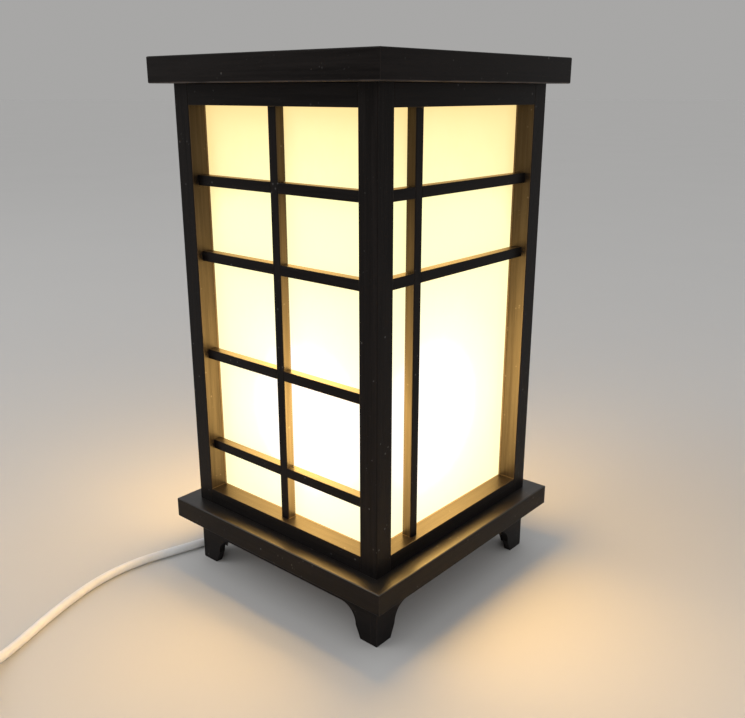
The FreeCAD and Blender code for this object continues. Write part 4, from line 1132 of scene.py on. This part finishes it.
class LANTERN_OT_grip_screws(bpy.types.Operator):
    """Two slotted screws that hold the cord grip to the base panel"""

    bl_idname = "lantern.grip_screws"
    bl_label = "Grip Screws"

    def execute(self, context):
        fittings = context.scene.lantern_fittings
        plate = metal("Screw Plate", (0.70, 0.68, 0.63), (0.46, 0.44, 0.40), 0.26)
        along = Vector((EXIT[0], EXIT[1], 0)).normalized()
        across = Vector((-along.y, along.x, 0)) * fittings.screw_place
        middle = along * GRIP_MIDDLE
        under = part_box("cord_grip")[0].z
        middle.z = under - fittings.screw_height / 2
        self.head(fittings, middle + across)
        left = settle("grip_screw_left", plate)
        bpy.ops.object.duplicate()
        bpy.context.object.location = -2 * across
        right = settle("grip_screw_right", plate)
        for piece in (left, right):
            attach(piece, "lantern")
        return {"FINISHED"}

    def head(self, fittings, place):
        """A domed head that looks down, with its slot."""
        clear_selection()
        height, radius = fittings.screw_height, fittings.screw_radius
        bpy.ops.mesh.primitive_cylinder_add(
            vertices=HEAD_CORNERS, radius=radius, depth=height, location=place)
        pick_edges(lambda one, two: one.z < 0 and two.z < 0)
        bpy.ops.mesh.bevel(offset=DOME_SHARE * height, segments=DOME_STEPS, affect="EDGES")
        pick_faces(lambda face: -face.normal.z > HEAD_FACE)
        bpy.ops.mesh.inset(thickness=SLOT_INSET * radius)
        bpy.ops.transform.resize(value=(1, SLOT_WIDTH, 1), center_override=place)
        sink = (0, 0, SLOT_DEPTH * height)
        bpy.ops.mesh.extrude_region_move(TRANSFORM_OT_translate={"value": sink})
        bpy.ops.object.mode_set(mode="OBJECT")
        bpy.ops.object.shade_smooth_by_angle(angle=HEAD_SHARP)


class LANTERN_OT_bulb(bpy.types.Operator):
    """Frosted bulb with its screw cap and contact tip"""

    bl_idname = "lantern.bulb"
    bl_label = "Bulb"

    def execute(self, context):
        dress(frosted_glass(context.scene.lantern_glow), "frosted_glass", "bulb_glass")
        tip_metal = metal("Tip Metal", (0.60, 0.58, 0.54), (0.40, 0.38, 0.35), 0.36)
        dress(tip_metal, "brass", "bulb_contact")
        fittings = context.scene.lantern_fittings
        low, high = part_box("bulb_cap")
        tip_low, tip_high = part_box("bulb_contact")
        heights, radii = (tip_low.z + fittings.cone, high.z), (tip_high.x, high.x)
        clear_selection()
        bpy.ops.mesh.primitive_cylinder_add(
            vertices=CAP_CORNERS, radius=high.x, depth=high.z - low.z,
            location=(0, 0, (low.z + high.z) / 2))
        apply_place()
        pick_edges(lambda one, two: abs(one.z - two.z) > CAP_LONG_EDGES)
        bpy.ops.mesh.subdivide(number_cuts=THREAD_CUTS)
        bpy.ops.object.mode_set(mode="OBJECT")
        for vertex in bpy.context.object.data.vertices:
            radius = self.radius(fittings, vertex.co, heights, radii)
            vertex.co.xy = Vector(vertex.co.xy).normalized() * radius
        bpy.ops.object.shade_smooth_by_angle(angle=CAP_SHARP)
        cap_metal = metal("Cap Metal", (0.76, 0.76, 0.75), (0.52, 0.52, 0.51), 0.28)
        piece = settle("screw_cap", cap_metal)
        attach(piece, "bulb")
        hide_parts("bulb_cap")
        return {"FINISHED"}

    def radius(self, fittings, place, heights, radii):
        """Radius of the cap: a cone, and above it a right-hand thread that fades at both ends."""
        (start, top), (narrow, outside) = heights, radii
        if place.z < start:
            share = max(place.z - (start - fittings.cone), 0) / fittings.cone
            return narrow + (outside - fittings.depth - narrow) * share
        turn = math.atan2(place.y, place.x) / (2 * math.pi)
        wave = 0.5 + 0.5 * math.cos(2 * math.pi * (turn - place.z / fittings.pitch))
        fade = min((place.z - start) / fittings.pitch, (top - place.z) / fittings.pitch, 1.0)
        return outside - fittings.depth * (1 - wave * fade)


class LANTERN_OT_plug(bpy.types.Operator):
    """Plated pins of the plug"""

    bl_idname = "lantern.plug"
    bl_label = "Plug Pins"

    def execute(self, context):
        plate = metal("Nickel Plate", (0.70, 0.68, 0.63), (0.50, 0.48, 0.44), 0.22)
        dress(plate, "plated_pins", "plug_pins")
        return {"FINISHED"}


# Panel, and the add-on itself

SETTINGS = {
    "lantern_wood": LanternWood,
    "lantern_glow": LanternGlow,
    "lantern_cord": LanternCord,
    "lantern_fittings": LanternFittings,
    "lantern_studio": LanternStudio,
}
STEPS = (
    "stage", "cord", "sleeves", "tie", "frame_wood", "inner_wood", "sheets", "lampholder",
    "grip_screws", "bulb", "plug",
)


class LANTERN_PT_panel(bpy.types.Panel):
    """The lantern's settings and steps"""

    bl_idname = "LANTERN_PT_panel"
    bl_label = "Lantern"
    bl_space_type = "VIEW_3D"
    bl_region_type = "UI"
    bl_category = "Lantern"

    def draw(self, context):
        for name, group in SETTINGS.items():
            box = self.layout.box()
            for setting in group.__annotations__:
                box.prop(getattr(context.scene, name), setting)
        for step in STEPS:
            self.layout.operator("lantern." + step)


CLASSES = (
    *SETTINGS.values(), LANTERN_OT_stage, LANTERN_OT_cord, LANTERN_OT_sleeves, LANTERN_OT_tie,
    LANTERN_OT_frame_wood, LANTERN_OT_inner_wood, LANTERN_OT_sheets, LANTERN_OT_lampholder,
    LANTERN_OT_grip_screws, LANTERN_OT_bulb, LANTERN_OT_plug, LANTERN_PT_panel,
)


def register():
    """Add the settings, the steps and the panel."""
    for made in CLASSES:
        bpy.utils.register_class(made)
    for name, group in SETTINGS.items():
        setattr(bpy.types.Scene, name, PointerProperty(type=group))


def unregister():
    """Take them out again."""
    for name in SETTINGS:
        delattr(bpy.types.Scene, name)
    for made in reversed(CLASSES):
        bpy.utils.unregister_class(made)


def main():
    """Dress the lantern."""
    register()
    for step in STEPS:
        getattr(bpy.ops.lantern, step)()
    clear_selection()


if __name__ == "__main__":
    main()
